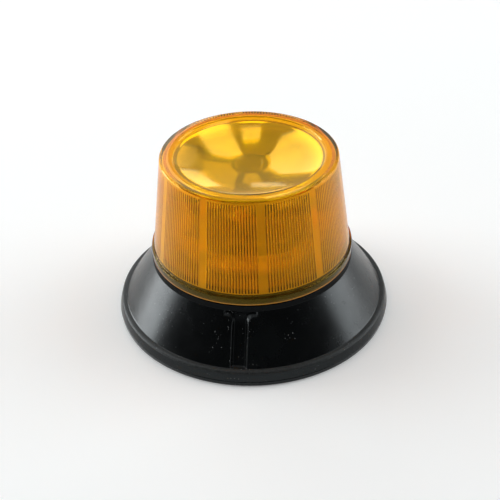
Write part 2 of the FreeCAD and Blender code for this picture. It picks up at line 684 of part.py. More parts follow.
def build_magnet():
    cup_top = "(magnet_gap + cup_height)"
    inside = "(cup_radius - cup_wall)"
    turned("magnet_cup", [
        ("(fixing_radius + fit)", "(magnet_gap + fixing_head_height)"),
        ("(fixing_head_radius + fit)", "magnet_gap"),
        ("pole_radius", "magnet_gap"),
        ("pole_radius", f"({cup_top} - cup_wall)"),
        (inside, f"({cup_top} - cup_wall)"),
        (inside, "magnet_gap"),
        ("cup_radius", "magnet_gap"),
        ("cup_radius", cup_top),
        ("(fixing_radius + fit)", cup_top),
    ])
    turned("ring_magnet", [
        ("(pole_radius + magnet_clearance)", "(magnet_gap + magnet_recess)"),
        (f"({inside} - magnet_clearance)", "(magnet_gap + magnet_recess)"),
        (f"({inside} - magnet_clearance)", f"({cup_top} - cup_wall)"),
        ("(pole_radius + magnet_clearance)", f"({cup_top} - cup_wall)"),
    ])
    nut_top = f"({FLOOR_TOP} + fixing_nut_height)"
    turned("magnet_screw", [
        ("0", "(magnet_gap + fit)"),
        ("fixing_head_radius", "(magnet_gap + fit)"),
        ("fixing_radius", "(magnet_gap + fixing_head_height)"),
        ("fixing_radius", f"({nut_top} + fixing_radius / 3)"),
        ("0", f"({nut_top} + fixing_radius / 3)"),
    ])
    nut = new_body("magnet_nut")
    corner = "(fixing_nut_width / 2 / cos(30))"
    corners = [polar(corner, f"{60 * index}") for index in range(6)]
    raise_pad(nut, "hexagon", corners, FLOOR_TOP, "fixing_nut_height")
    drill(nut, "thread_bore", ("0", "0"), "fixing_radius", nut_top, "(fixing_nut_height + 1)")


# ---------------------------------------------------------------- chassis, motor and wiring

MOTOR = polar(CENTRES, "motor_turn")


def build_chassis():
    plate = new_body("chassis_plate")
    boss(plate, "plate", ("0", "0"), CHASSIS, CHASSIS_BOTTOM, "chassis_thickness")
    through = "(chassis_thickness + 1)"
    drill(plate, "spindle_hole", ("0", "0"), "spindle_bore", CHASSIS_TOP, through)
    drill(plate, "motor_hole", MOTOR, "(motor_boss_radius + fit)", CHASSIS_TOP, through)
    place = polar(PILLARS, "pillar_turn")
    hole = drill(plate, "screw_hole", place, "(screw_radius + fit)", CHASSIS_TOP, through)
    repeat(plate, "screw_holes", [hole], "pillar_count")
    rivet = drill(plate, "rivet_hole", (RIVET_CIRCLE, "0"), "rivet_radius", CHASSIS_TOP, through)
    repeat(plate, "rivet_holes", [rivet], "pillar_count")
    for index, side in enumerate(("90", "270")):
        spot = motor_screw_place(side)
        drill(plate, f"motor_screw_hole_{index}", spot, "(motor_screw_radius + fit)", CHASSIS_TOP, through)
    shank = number(CHASSIS_TOP)
    screw = screw_solid("screw_radius", "screw_head_radius", "screw_head_height", "screw_length", shank)
    circle, turn = number(PILLARS), number("pillar_turn")
    screw.translate(Vector(circle, 0, 0))
    feature("chassis_screws", Part.makeCompound(around([screw], number("pillar_count"), turn)))


RIVET_CIRCLE = "((spindle_radius + spindle_flange_radius) / 2)"


def motor_screw_place(side):
    """Plan of a motor screw, at an angle from the motor's direction."""
    return tuple(f"({centre} + motor_screw_circle * {axis}(motor_turn + {side}))"
                 for centre, axis in zip(MOTOR, ("cos", "sin")))


def screw_solid(shank, head, head_height, length, seat):
    """A domed screw along Z with its head on a seat."""
    radius, cap, rise = number(shank), number(head), number(head_height)
    stem = rod(radius, seat - number(length), seat + rise / 2)
    dome = rod(cap, seat, seat + rise)
    rim = [e for e in dome.Edges if e.Length > cap and e.BoundBox.ZMin > seat + rise / 2]
    dome = dome.makeFillet(rise * 0.6, rim)
    slot = Part.makeBox(2 * cap, rise * 0.45, rise * 0.5, Vector(-cap, -rise * 0.225, seat + rise * 0.5))
    return dome.fuse(stem).cut(slot)


def build_spindle():
    turned("spindle", [
        ("spindle_bore", CHASSIS_TOP),
        ("spindle_flange_radius", CHASSIS_TOP),
        ("spindle_flange_radius", THRUST_BOTTOM),
        ("spindle_radius", THRUST_BOTTOM),
        ("spindle_radius", CLIP_BOTTOM),
        ("(spindle_radius - groove_depth)", CLIP_BOTTOM),
        ("(spindle_radius - groove_depth)", f"({CLIP_BOTTOM} + clip_thickness)"),
        ("spindle_radius", f"({CLIP_BOTTOM} + clip_thickness)"),
        ("spindle_radius", SPINDLE_TOP),
        ("spindle_bore", SPINDLE_TOP),
    ])
    body = doc.getObject("spindle")
    place, depth = (RIVET_CIRCLE, "0"), "(2 * spindle_flange_thickness)"
    hole = drill(body, "foot_hole", place, "rivet_radius", THRUST_BOTTOM, depth)
    repeat(body, "foot_holes", [hole], "pillar_count")
    rivet = rod(number("rivet_radius"), number(CHASSIS_BOTTOM), number(THRUST_BOTTOM), number(RIVET_CIRCLE))
    feature("spindle_rivets", Part.makeCompound(around([rivet], number("pillar_count"))))
    turned("thrust_washer", [
        (BUSH, THRUST_BOTTOM),
        ("spindle_flange_radius", THRUST_BOTTOM),
        ("spindle_flange_radius", f"({THRUST_BOTTOM} + thrust_thickness)"),
        (BUSH, f"({THRUST_BOTTOM} + thrust_thickness)"),
    ])
    clip = rod(number("spindle_radius - groove_depth + clip_reach"), number(CLIP_BOTTOM),
               number(f"({CLIP_BOTTOM} + clip_thickness)"))
    clip = clip.cut(rod(number("spindle_radius - groove_depth"), number(CLIP_BOTTOM), number(HOLDER_TOP)))
    width, reach = number("spindle_radius"), number("spindle_radius + clip_reach")
    mouth = Part.makeBox(width, reach, number("clip_thickness"), Vector(-width / 2, 0, number(CLIP_BOTTOM)))
    feature("retaining_clip", clip.cut(mouth))



def involute_point(base, radius, half_angle):
    """A point on a tooth's flank, for a tooth centred on +X whose half angle at the base circle is given."""
    roll = math.sqrt(max((radius / base)**2 - 1, 0.0))
    angle = half_angle - (roll - math.atan(roll))
    return Vector(radius * math.cos(angle), radius * math.sin(angle), 0)


def spur_gear(teeth, face, turn):
    """A toothed disc from level 0 up, with a tooth at the angle `turn`; its flanks are arcs on the involute."""
    module, pressure = number("gear_module"), math.radians(number("pressure_angle"))
    pitch = module * teeth / 2
    base, tip, root = pitch * math.cos(pressure), pitch + module, pitch - 1.25 * module
    start = max(base, root)
    half_angle = math.pi / 2 / teeth - number("backlash") / 2 / pitch + math.tan(pressure) - pressure
    flank = [involute_point(base, radius, half_angle) for radius in (start, (start + tip) / 2, tip)]
    foot = Vector(flank[0])
    foot.multiply(root / start)

    def at(point, tooth, side=1):
        angle = turn + 360.0 * tooth / teeth
        return Rotation(Vector(0, 0, 1), angle).multVec(Vector(point.x, side * point.y, 0))

    straight = start > root + 1e-6
    edges = []
    for tooth in range(teeth):
        if straight:
            edges.append(Part.LineSegment(at(foot, tooth, -1), at(flank[0], tooth, -1)).toShape())
        edges.append(Part.Arc(*[at(point, tooth, -1) for point in flank]).toShape())
        crown = at(Vector(tip, 0, 0), tooth)
        edges.append(Part.Arc(at(flank[2], tooth, -1), crown, at(flank[2], tooth)).toShape())
        edges.append(Part.Arc(*[at(point, tooth) for point in reversed(flank)]).toShape())
        if straight:
            edges.append(Part.LineSegment(at(flank[0], tooth), at(foot, tooth)).toShape())
        valley = at(Vector(root, 0, 0), tooth + 0.5)
        edges.append(Part.Arc(at(foot, tooth), valley, at(foot, tooth + 1, -1)).toShape())
    return Part.Face(Part.Wire(edges)).extrude(Vector(0, 0, face))


def build_drive_gear():
    """The reflector's gear: a thin web with round windows, a toothed rim, and a hub for the bush."""
    teeth, face = int(number("gear_teeth")), number("gear_thickness")
    motor = number("motor_turn")
    gear = spur_gear(teeth, face, motor + 180.0 / teeth)
    root = number("gear_module * (gear_teeth / 2 - 1.25)")
    hub, bore, height = number(HUB), number(HUB_BORE), number("hub_height")
    hollow = rod(root - number("gear_rim"), 0, face - number("gear_web")).cut(rod(hub, 0, face))
    gear = gear.cut(hollow).fuse(rod(hub, 0, height)).cut(rod(bore, 0, height))
    middle = (number("foot_radius") + root - number("gear_rim")) / 2
    window = rod(number("window_radius"), 0, face, middle)
    windows = around([window], number("window_count"))
    screw = rod(number("foot_screw_radius + fit / 2"), 0, face, number("foot_screw_circle"))
    holes = around([screw], number("foot_screw_count"), number("reflector_turn"))
    gear = gear.cut(windows + holes).removeSplitter()
    gear.translate(Vector(0, 0, number(GEAR_BOTTOM)))
    feature("drive_gear", gear)
    turned("bearing_bush", [
        (BUSH, GEAR_BOTTOM),
        (HUB_BORE, GEAR_BOTTOM),
        (HUB_BORE, HUB_TOP),
        (BUSH, HUB_TOP),
    ])


def build_motor():
    x, y = (number(axis) for axis in MOTOR)
    top, length, cap = number(CHASSIS_BOTTOM), number("motor_length"), number("motor_cap_length")
    radius, bore = number("motor_radius"), number("shaft_radius + shaft_play")
    boss_top = top + number("motor_boss_height")
    seam = top - length + cap
    can = rod(radius, seam, top)
    can = can.makeFillet(radius / 10, [e for e in can.Edges if e.BoundBox.ZMin > top - 1e-6])
    can = can.fuse(rod(number("motor_boss_radius"), top - cap, boss_top)).cut(rod(bore, seam, boss_top))
    spots = [tuple(number(axis) for axis in motor_screw_place(side)) for side in ("90", "270")]
    holes = [rod(number("motor_screw_radius"), top - cap, top, px - x, py - y) for px, py in spots]
    can = can.cut(holes).removeSplitter()
    can.translate(Vector(x, y, 0))
    feature("motor_can", can)
    end = rod(radius - number("fit"), seam - cap, seam).cut(rod(bore, seam - cap / 2, seam))
    rim = [e for e in end.Edges if e.BoundBox.ZMax < seam - cap + 1e-6]
    end = end.makeFillet(radius / 12, rim)
    width, sheet_metal, reach = number("tag_width"), number("tag_sheet"), number("tag_reach")
    corner = Vector(radius * 0.7, -sheet_metal / 2, seam - cap / 2 - width / 2)
    tags = []
    for side in (0, 1):
        tag = Part.makeBox(radius * 0.3 + reach, sheet_metal, width, corner)
        tag.rotate(Vector(0, 0, 0), Vector(0, 0, 1), number(f"motor_turn + 180 + {side} * tag_spread"))
        tags.append(tag)
    end = end.cut(tags)
    for shape in [end] + tags:
        shape.translate(Vector(x, y, 0))
    feature("motor_end_cap", end)
    feature("motor_tags", Part.makeCompound(tags))
    seat = number(CHASSIS_TOP)
    length = "(chassis_thickness + motor_cap_length)"
    screws = []
    for px, py in spots:
        screw = screw_solid("motor_screw_radius", "motor_screw_head_radius", "motor_screw_head", length, seat)
        screw.translate(Vector(px, py, 0))
        screws.append(screw)
    feature("motor_screws", Part.makeCompound(screws))
    gear_low, face = number(GEAR_BOTTOM), number("gear_thickness")
    shaft_top = gear_low + face + number("end_play")
    feature("motor_shaft", rod(number("shaft_radius"), seam - cap / 2 + number("end_play"), shaft_top, x, y))
    pinion = spur_gear(int(number("pinion_teeth")), face, number("motor_turn") + 180)
    pinion = pinion.cut(rod(number("shaft_radius"), 0, face))
    pinion.translate(Vector(x, y, gear_low))
    feature("drive_pinion", pinion)


# ---------------------------------------------------------------- reflector and lamp

def build_reflector():
    """A deep parabolic reflector, cut off flat above and below, on a moulded foot with two gussets."""
    focus, wall = number("focus_length"), number("reflector_wall")
    reach, half = number("reflector_radius"), number("reflector_half_height")

    def bowl(shift, outer):
        """A solid bounded by the paraboloid, moved back along its axis and filled up to the mouth.

        A parabola from its vertex is the curve of three poles: the vertex, half the height straight above it,
        and the end.
        """
        vertex, end = Vector(0, 0, 0), Vector(outer**2 / 4 / focus, outer, 0)
        parabola = Part.BezierCurve()
        parabola.setPoles([vertex, Vector(0, outer / 2, 0), end])
        centre = Vector(end.x, 0, 0)
        edges = [parabola.toShape(), Part.makeLine(end, centre), Part.makeLine(centre, vertex)]
        face = Part.Face(Part.Wire(edges))
        solid = face.revolve(Vector(0, 0, 0), Vector(1, 0, 0), 360)
        solid.translate(Vector(-focus - shift, 0, 0))
        return solid

    mouth = reach**2 / 4 / focus - focus
    slab = Part.makeBox(2 * mouth + 4 * focus, 2 * reach, 2 * half, Vector(-4 * focus - mouth, -reach, -half))
    outer = bowl(wall, math.sqrt(4 * focus * (mouth + focus + wall)))
    shell = outer.cut(bowl(0, reach)).common(slab)
    base, deck = number(GEAR_TOP) - number(FOCUS), number("foot_thickness")
    spacing = number("gusset_spacing")
    foot = rod(number("foot_radius"), base, base + deck)
    thick = number("gusset_thickness")
    back, front, high = number("gusset_back"), number("gusset_front"), number("gusset_top")
    profile = [
        (-back, base + deck / 2),
        (front, base + deck / 2),
        (front, -half + wall),
        (-focus, high),
        (-focus - 2 * wall, high),
    ]
    for side in (-1, 1):
        near = side * spacing / 2 - thick / 2
        wire = Part.makePolygon([Vector(px, near, pz) for px, pz in profile + profile[:1]])
        foot = foot.fuse(Part.Face(wire).extrude(Vector(0, thick, 0)))
    foot = foot.cut(bowl(wall / 2, reach + wall).common(slab))
    solid = shell.fuse(foot)
    hub = rod(number(HUB) + number("fit"), base, base + deck)
    lamp_top = number(LAMP_TOP) - number(FOCUS)
    window = rod(number("lamp_window"), base + deck, lamp_top + number("lamp_flange_thickness"))
    screw = rod(number("foot_screw_radius + fit"), base, base + deck, number("foot_screw_circle"))
    holes = around([screw], number("foot_screw_count"))
    solid = solid.cut([hub, window] + holes).removeSplitter()
    place = Placement(Vector(0, 0, number(FOCUS)), Rotation(Vector(0, 0, 1), number("reflector_turn")))
    feature("reflector", solid, place)
    seat = number(GEAR_TOP) + deck
    head_height = "foot_screw_radius"
    screw = screw_solid("foot_screw_radius", "foot_screw_head", head_height, "foot_screw_length", seat)
    screw.translate(Vector(number("foot_screw_circle"), 0, 0))
    screws = around([screw], number("foot_screw_count"), number("reflector_turn"))
    feature("reflector_screws", Part.makeCompound(screws))


def build_lamp():
    neck_bottom = f"({HOLDER_TOP} - lamp_neck_length)"
    turned("bulb_holder", [
        ("lead_radius * 2.4", f"({SPINDLE_TOP})"),
        ("spindle_radius", SPINDLE_TOP),
        ("spindle_radius", f"({SPINDLE_TOP} - holder_skirt)"),
        ("(spindle_radius + holder_wall)", f"({SPINDLE_TOP} - holder_skirt)"),
        ("(spindle_radius + holder_wall)", HOLDER_TOP),
        ("(lamp_neck_radius + fit)", HOLDER_TOP),
        ("(lamp_neck_radius + fit)", f"({neck_bottom} - fit)"),
        ("lead_radius * 2.4", f"({neck_bottom} - fit)"),
    ])
    turned("bulb_collar", [
        ("0", neck_bottom),
        ("lamp_neck_radius", neck_bottom),
        ("lamp_neck_radius", HOLDER_TOP),
        ("lamp_flange_radius", HOLDER_TOP),
        ("lamp_flange_radius", LAMP_TOP),
        ("0", LAMP_TOP),
    ])
    crown = f"({LAMP_TOP} + glass_length)"
    turned("bulb_glass", [
        ("(glass_radius - glass_wall)", LAMP_TOP),
        ("glass_radius", LAMP_TOP),
        ("glass_radius", f"({crown} - glass_radius)", "glass_radius * 1.0001"),
        ("glass_radius / 1000", crown),
        ("glass_radius / 1000", f"({crown} - glass_wall)", "-(glass_radius - glass_wall) * 1.0001"),
        ("(glass_radius - glass_wall)", f"({crown} - glass_radius)"),
    ])
    wire, coil, length = number("filament_wire"), number("filament_radius"), number("filament_length")
    level, bottom = number(FOCUS), number(LAMP_TOP)
    spread = length / 2 + coil
    supports = []
    for side in (-1, 1):
        supports.append(rod(wire * 1.4, bottom, level, side * spread))
    bar = Part.makeCylinder(coil, length + 2 * coil, Vector(-spread, 0, level), Vector(1, 0, 0))
    feature("bulb_filament", supports[0].fuse([supports[1], bar]).removeSplitter())


# ---------------------------------------------------------------- cable inlet and wiring

def build_inlet():
    """A rubber sleeve through the boot and the housing wall, with a collar on each side of that wall."""
    bore, wall = number("inlet_bore"), number("inlet_wall")
    outer, level = bore + wall, number("inlet_height")
    shell_out, shell_in = number("housing_radius"), number(HOUSING_BORE)
    nose = number(f"({cone_radius('inlet_height')} + inlet_nose)")
    collar, flat = number("inlet_collar"), number("inlet_collar + inlet_wall")
    reach = math.sqrt(shell_in**2 - (outer + flat)**2)
    back = reach - collar
    clear = shell_out + number("fit")

    def barrel(radius, start, end):
        return Part.makeCylinder(radius, end - start, Vector(0, start, level), Vector(0, 1, 0))

    sleeve = barrel(outer, back, nose)
    sleeve = sleeve.makeChamfer(wall / 2, [e for e in sleeve.Edges if e.BoundBox.YMin > nose - 1e-6])
    sleeve = sleeve.fuse([barrel(outer + flat, back, reach), barrel(outer + flat, clear, clear + collar)])
    feature("cable_grommet", sleeve.cut(barrel(bore, back, nose)).removeSplitter())


def build_terminals():
    width, depth, height = (number(f"block_{side}") for side in ("width", "depth", "height"))
    low, place, screw = number(FLOOR_TOP), number(BLOCK_PLACE), number("terminal_radius")
    block = Part.makeBox(width, depth, height, Vector(-width / 2, place - depth / 2, low))
    upright = [e for e in block.Edges if abs(e.Length - height) < 1e-6]
    block = block.makeChamfer(depth / 10, upright)
    lead = number("lead_radius + fit")
    screws = []
    for x in way_places():
        block = block.cut(rod(screw + number("fit"), low + height / 2, low + height, x, place))
        start = Vector(x, place - depth / 2, way_level())
        block = block.cut(Part.makeCylinder(lead, depth, start, Vector(0, 1, 0)))
        screws.append(rod(screw, low + height / 2 + lead, low + height - number("terminal_sink"), x, place))
    feature("terminal_block", block)
    feature("terminal_screws", Part.makeCompound(screws))
    radius, length, aside = number("choke_radius"), number("choke_length"), number("choke_place")
    core = Part.makeCylinder(radius, length, Vector(aside, -length, low + radius), Vector(0, 1, 0))
    rims = [e for e in core.Edges if isinstance(e.Curve, Part.Circle)]
    feature("suppression_choke", core.makeFillet(radius / 3, rims))


def way_places():
    """Where the ways of the terminal block lie across it, from -X to +X."""
    width, count = number("block_width"), int(number("way_count"))
    return [width * ((index + 0.5) / count - 0.5) for index in range(count)]


def way_level():
    return number(f"({FLOOR_TOP} + block_height / 2)")


def lead_solid(points):
    """An insulated lead: a round section along straight runs joined by tangent arcs."""
    corners = [Vector(*p) for p in points]
    edges, start = [], corners[0]
    for before, here, after in zip(corners, corners[1:], corners[2:]):
        inward, outward = here - before, after - here
        reach = 0.45 * min(inward.Length, outward.Length)
        inward.normalize()
        outward.normalize()
        half = inward.getAngle(outward) / 2
        bend = reach / math.tan(half)
        towards = (outward - inward).normalize()
        middle = here + towards * (bend / math.cos(half) - bend)
        edges.append(Part.LineSegment(start, here - inward * reach).toShape())
        edges.append(Part.Arc(here - inward * reach, middle, here + outward * reach).toShape())
        start = here + outward * reach
    edges.append(Part.LineSegment(start, corners[-1]).toShape())
    section = Part.Wire(Part.Circle(corners[0], corners[1] - corners[0], number("lead_radius")).toShape())
    return Part.Wire(edges).makePipeShell([section], True, True)


def build_leads():
    """Two leads from the terminal block to the motor's tags, and two up the hollow spindle to the lamp."""
    front = number(f"{BLOCK_PLACE} - block_depth / 2")
    inside, ahead = front + number("terminal_radius"), front - number("block_depth")
    level, radius = way_level(), number("lead_radius")
    ways = way_places()
    motor_x, motor_y = (number(axis) for axis in MOTOR)
    tag_level = number(f"({CHASSIS_BOTTOM} - motor_length + motor_cap_length / 2)")
    tip, run = number("motor_radius + tag_reach"), number("block_depth")

    def off_tag(side, distance):
        angle = math.radians(number(f"motor_turn + 180 + {side} * tag_spread"))
        return (motor_x + distance * math.cos(angle), motor_y + distance * math.sin(angle), tag_level)

    motor = [
        [(ways[0], inside, level), (ways[0], ahead, level), off_tag(1, tip + run), off_tag(1, tip)],
        [(ways[1], inside, level), (ways[1], ahead, level), off_tag(0, tip + run), off_tag(0, tip)],
    ]
    feature("motor_leads", Part.makeCompound([lead_solid(route) for route in motor]))
    apart, contact = number("lead_spread") / 2, number(f"({HOLDER_TOP} - lamp_neck_length)")
    below = number(CHASSIS_BOTTOM) - 2 * radius
    lamp = []
    for way, side in ((ways[2], -1), (ways[3], 1)):
        lamp.append([
            (way, inside, level),
            (way, ahead, level),
            (side * apart * 1.5, number("spindle_bore"), level + 5 * radius),
            (side * apart, 0, below),
            (side * apart, 0, contact),
        ])
    feature("lamp_leads", Part.makeCompound([lead_solid(route) for route in lamp]))


def build_lens_seal():
    inner = f"({LENS_BORE} - lug_gap - lug_gap)"
    turned("lens_seal", [
        (inner, HOUSING_TOP),
        (f"({HOUSING_FLANGE} - fit)", HOUSING_TOP),
        (f"({HOUSING_FLANGE} - fit)", SEAL_TOP),
        (inner, SEAL_TOP),
    ])


build_lens()
build_heat_shield()
build_stake_washers()
build_lens_seal()
build_rubber_boot()
build_base_housing()
build_magnet()
build_chassis()
build_spindle()
build_drive_gear()
build_motor()
build_reflector()
build_lamp()
build_inlet()
build_terminals()
build_leads()


def sub_parts():
    """The bodies, and the objects that stand outside any body."""
    for item in doc.Objects:
        if item.TypeId == "PartDesign::Body" or item.TypeId == "Part::Feature":
            if item.getParentGeoFeatureGroup() is None:
                yield item


doc.recompute()
for item in doc.Objects:
    if "Invalid" in item.State or "Error" in item.State:
        raise RuntimeError(f"{item.Name} failed: {item.State}")
os.makedirs("parts", exist_ok=True)
for item in sub_parts():
    if item.Shape.isNull() or not item.Shape.isValid() or not item.Shape.Solids:
        raise RuntimeError(f"{item.Label} has no valid solid")
    item.Shape.exportStep(f"parts/{item.Label}.step")
    print(f"{item.Label}: {len(item.Shape.Solids)} solids, {item.Shape.Volume:.0f} mm3, valid")
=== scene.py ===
"""Finish, lights and camera for a rotating warning beacon with an amber lens and a flared rubber boot.

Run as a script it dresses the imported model: each piece has an operator, and a panel in the 3D view's
sidebar lists them. Lengths are metres unless a name says otherwise, in the model's own frame: +Z up, the
origin under the middle of the boot's rim, and the boot's channel facing -Y.
"""

import math

import bpy
import numpy as np
from bpy.props import FloatProperty, FloatVectorProperty, IntProperty, PointerProperty
from mathutils import Matrix, Vector


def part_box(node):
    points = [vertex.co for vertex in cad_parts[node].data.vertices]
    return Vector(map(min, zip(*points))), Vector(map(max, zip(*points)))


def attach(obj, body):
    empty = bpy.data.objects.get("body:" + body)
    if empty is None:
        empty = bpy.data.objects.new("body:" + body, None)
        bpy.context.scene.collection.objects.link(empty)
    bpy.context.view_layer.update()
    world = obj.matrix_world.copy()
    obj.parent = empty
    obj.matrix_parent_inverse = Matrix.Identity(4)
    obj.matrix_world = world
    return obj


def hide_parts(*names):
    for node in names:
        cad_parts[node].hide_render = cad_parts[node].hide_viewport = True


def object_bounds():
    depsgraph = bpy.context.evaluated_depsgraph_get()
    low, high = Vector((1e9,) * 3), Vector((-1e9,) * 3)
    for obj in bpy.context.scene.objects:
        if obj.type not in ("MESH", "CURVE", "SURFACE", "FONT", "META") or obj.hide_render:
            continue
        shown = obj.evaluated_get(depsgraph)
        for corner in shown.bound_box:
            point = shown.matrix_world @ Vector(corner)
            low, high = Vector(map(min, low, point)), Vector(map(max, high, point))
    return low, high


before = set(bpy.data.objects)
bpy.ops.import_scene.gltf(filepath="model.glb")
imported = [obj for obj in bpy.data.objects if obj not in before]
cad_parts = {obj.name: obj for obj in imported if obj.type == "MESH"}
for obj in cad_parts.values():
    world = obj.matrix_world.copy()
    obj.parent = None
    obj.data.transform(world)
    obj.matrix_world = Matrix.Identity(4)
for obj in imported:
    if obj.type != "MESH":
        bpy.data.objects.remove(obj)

bl_info = {
    "name": "Warning beacon finish",
    "version": (1, 0, 0),
    "blender": (4, 5, 0),
    "location": "View3D > Sidebar > Beacon",
    "description": "Builds the lens, boot, mirror and finishes of a rotating warning beacon",
    "category": "Object",
}

MM = 0.001
CAD_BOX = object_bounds()


def span(node):
    """Outer radius, lowest level and highest level of a turned CAD node."""
    low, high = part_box(node)
    return (high.x - low.x) / 2, low.z, high.z


LENS_RADIUS, LENS_LOW, LENS_HIGH = span("lens")
BOOT_RADIUS, _, BOOT_HIGH = span("rubber_boot")
SHIELD_RADIUS, SHIELD_LOW, SHIELD_HIGH = span("heat_shield")
HOUSING_FLANGE, HOUSING_LOW, _ = span("base_housing")


# ------------------------------------------------ sizes and colours that a user would change

def length(name, description, default):
    """A length that the user can set."""
    return FloatProperty(name=name, description=description, default=default, unit="LENGTH",
                         subtype="DISTANCE")


def tint(name, description, default):
    """A colour that the user can set."""
    return FloatVectorProperty(name=name, description=description, default=default, subtype="COLOR", size=3,
                               min=0, max=1)


class LensSizes(bpy.types.PropertyGroup):
    """Sizes of the amber lens."""
    flange_height: length("Flange height", "Height of the plain band at the foot", 5.2 * MM)
    shoulder: length("Shoulder", "Flat step from the flange to the wall", 1.5 * MM)
    wall: length("Wall", "Thickness of the wall at the crests of the flutes", 3.0 * MM)
    taper: length("Taper", "How far the wall leans in over its height", 8.2 * MM)
    top_wall: length("Top wall", "Thickness of the dished top", 2.6 * MM)
    ring: length("Ring", "Width of the flat ring round the dish", 7.7 * MM)
    step: length("Step", "Drop from the ring to the edge of the dish", 0.9 * MM)
    dish: length("Dish", "Depth of the dish under its edge", 6.0 * MM)
    dish_curve: length("Dish curve", "Radius of the dish's outline", 300 * MM)
    dish_flat: length("Dish flat", "Radius of the flat middle of the dish", 11 * MM)
    flute_depth: length("Flute depth", "Depth of the flutes inside the wall", 0.5 * MM)
    flutes: IntProperty(name="Flutes", description="Flutes in one panel", default=18)
    panels: IntProperty(name="Panels", description="Fluted panels round the lens", default=10)
    strip: FloatProperty(
        name="Strip", description="Angle of the plain strip between panels", default=math.radians(4.7),
        subtype="ANGLE", unit="ROTATION")
    strip_turn: FloatProperty(
        name="Strip direction", description="Direction of one plain strip", default=math.radians(283.1),
        subtype="ANGLE", unit="ROTATION")


class BootSizes(bpy.types.PropertyGroup):
    """Sizes of the rubber boot."""
    rim_height: length("Rim height", "Height of the rim's outer face", 9.8 * MM)
    rim_taper: length("Rim taper", "How far the rim's top edge is set in", 1.9 * MM)
    seam_height: length("Seam height", "Height of the moulding seam round the rim", 3.3 * MM)
    rim_depth: length("Rim depth", "Thickness of the rim", 12 * MM)
    ledge: length("Ledge", "Flat ledge at the foot of the cone", 3.0 * MM)
    neck: length("Neck", "Upright neck above the cone", 4.2 * MM)
    lip: length("Lip", "Lip round the housing's flange", 1.3 * MM)
    wall: length("Wall", "Thickness of the cone", 5 * MM)
    channel_width: length("Channel width", "Width of the cable channel", 9.6 * MM)
    channel_depth: length("Channel depth", "Depth of the cable channel", 3 * MM)
    head_width: length("Head width", "Width of the recess above the channel", 21 * MM)
    head_height: length("Head height", "Height of the recess above the channel", 2.6 * MM)


class Finishes(bpy.types.PropertyGroup):
    """Main colours."""
    amber_wall: tint("Amber wall", "Tint of the fluted wall", (0.96, 0.47, 0.008))
    amber_top: tint("Amber top", "Tint of the thinner dished top", (0.99, 0.69, 0.004))
    amber_milk: tint("Amber milk", "Colour of the light that the wall scatters", (1.0, 0.84, 0.05))
    # Painted highlight: orange of the band at the flange's foot, in place of light that the plastic carries
    # down to its edge.
    painted_foot_highlight: tint("Amber foot", "Colour of the cut foot of the flange", (0.90, 0.36, 0.01))
    milk: FloatProperty(
        name="Milk", description="Share of light that the crests inside the wall scatter", default=0.5,
        min=0, max=1, subtype="FACTOR")
    rubber: tint("Rubber", "Colour of the boot", (0.0012, 0.0014, 0.0015))
    floor: tint("Floor", "Colour of the floor", (0.89, 0.91, 0.91))


# ------------------------------------------------ shader maths

class Wire:
    """An output of a node tree; sums, products and powers of wires add Math nodes."""

    def __init__(self, tree, socket):
        self.tree = tree
        self.socket = socket

    def _math(self, operation, first, second=None):
        node = self.tree.nodes.new("ShaderNodeMath")
        node.operation = operation
        for socket, value in zip(node.inputs, (first, second)):
            if isinstance(value, Wire):
                self.tree.links.new(value.socket, socket)
            elif value is not None:
                socket.default_value = value
        return Wire(self.tree, node.outputs[0])

    def __add__(self, other):
        return self._math("ADD", self, other)

    def __radd__(self, other):
        return self._math("ADD", other, self)

    def __sub__(self, other):
        return self._math("SUBTRACT", self, other)

    def __rsub__(self, other):
        return self._math("SUBTRACT", other, self)

    def __mul__(self, other):
        return self._math("MULTIPLY", self, other)

    def __rmul__(self, other):
        return self._math("MULTIPLY", other, self)

    def __truediv__(self, other):
        return self._math("DIVIDE", self, other)

    def __pow__(self, other):
        return self._math("POWER", self, other)

    def __abs__(self):
        return self._math("ABSOLUTE", self)

    def above(self, level):
        """1 where the value is over a level, else 0."""
        return self._math("GREATER_THAN", self, level)

    def at_least(self, other):
        """The larger of the two."""
        return self._math("MAXIMUM", self, other)


class Graph:
    """A node tree of a material or of the world."""

    def __init__(self, tree):
        self.tree = tree

    def _feed(self, socket, value):
        """Links a wire to a socket, or sets it to a number or a colour."""
        if isinstance(value, Wire):
            self.tree.links.new(value.socket, socket)
        elif isinstance(value, tuple) and len(value) == 3 and len(socket.default_value) == 4:
            socket.default_value = (*value, 1.0)
        else:
            socket.default_value = value

    def node(self, kind, settings=None, output=0, **values):
        """Any node: its type without the ShaderNode prefix, its settings, then its sockets' values.

        A setting called stops is a list of (position, grey) for a ramp. A socket is named with underscores
        for spaces, or as s0, s1 and so on by its place.
        """
        made = self.tree.nodes.new("ShaderNode" + kind)
        for name, value in (settings or {}).items():
            if name == "stops":
                ramp = made.color_ramp
                while len(ramp.elements) < len(value):
                    ramp.elements.new(0.5)
                for element, (position, grey) in zip(ramp.elements, value):
                    element.position = position
                    element.color = (grey, grey, grey, 1.0)
            else:
                setattr(made, name, value)
        for name, value in values.items():
            place = int(name[1:]) if name[0] == "s" and name[1:].isdigit() else name.replace("_", " ")
            self._feed(made.inputs[place], value)
        return Wire(self.tree, made.outputs[output])

    def ramp(self, value, *stops):
        """A value read through a colour ramp."""
        return self.node("ValToRGB", {"stops": stops}, s0=value)

    def shown(self):
        """1 for what the eye, a mirror or clear plastic shows, and 0 for light on its way."""
        eye, mirror, clear = (self.node("LightPath", output=f"Is {ray} Ray")
                              for ray in ("Camera", "Glossy", "Transmission"))
        return eye + mirror + clear


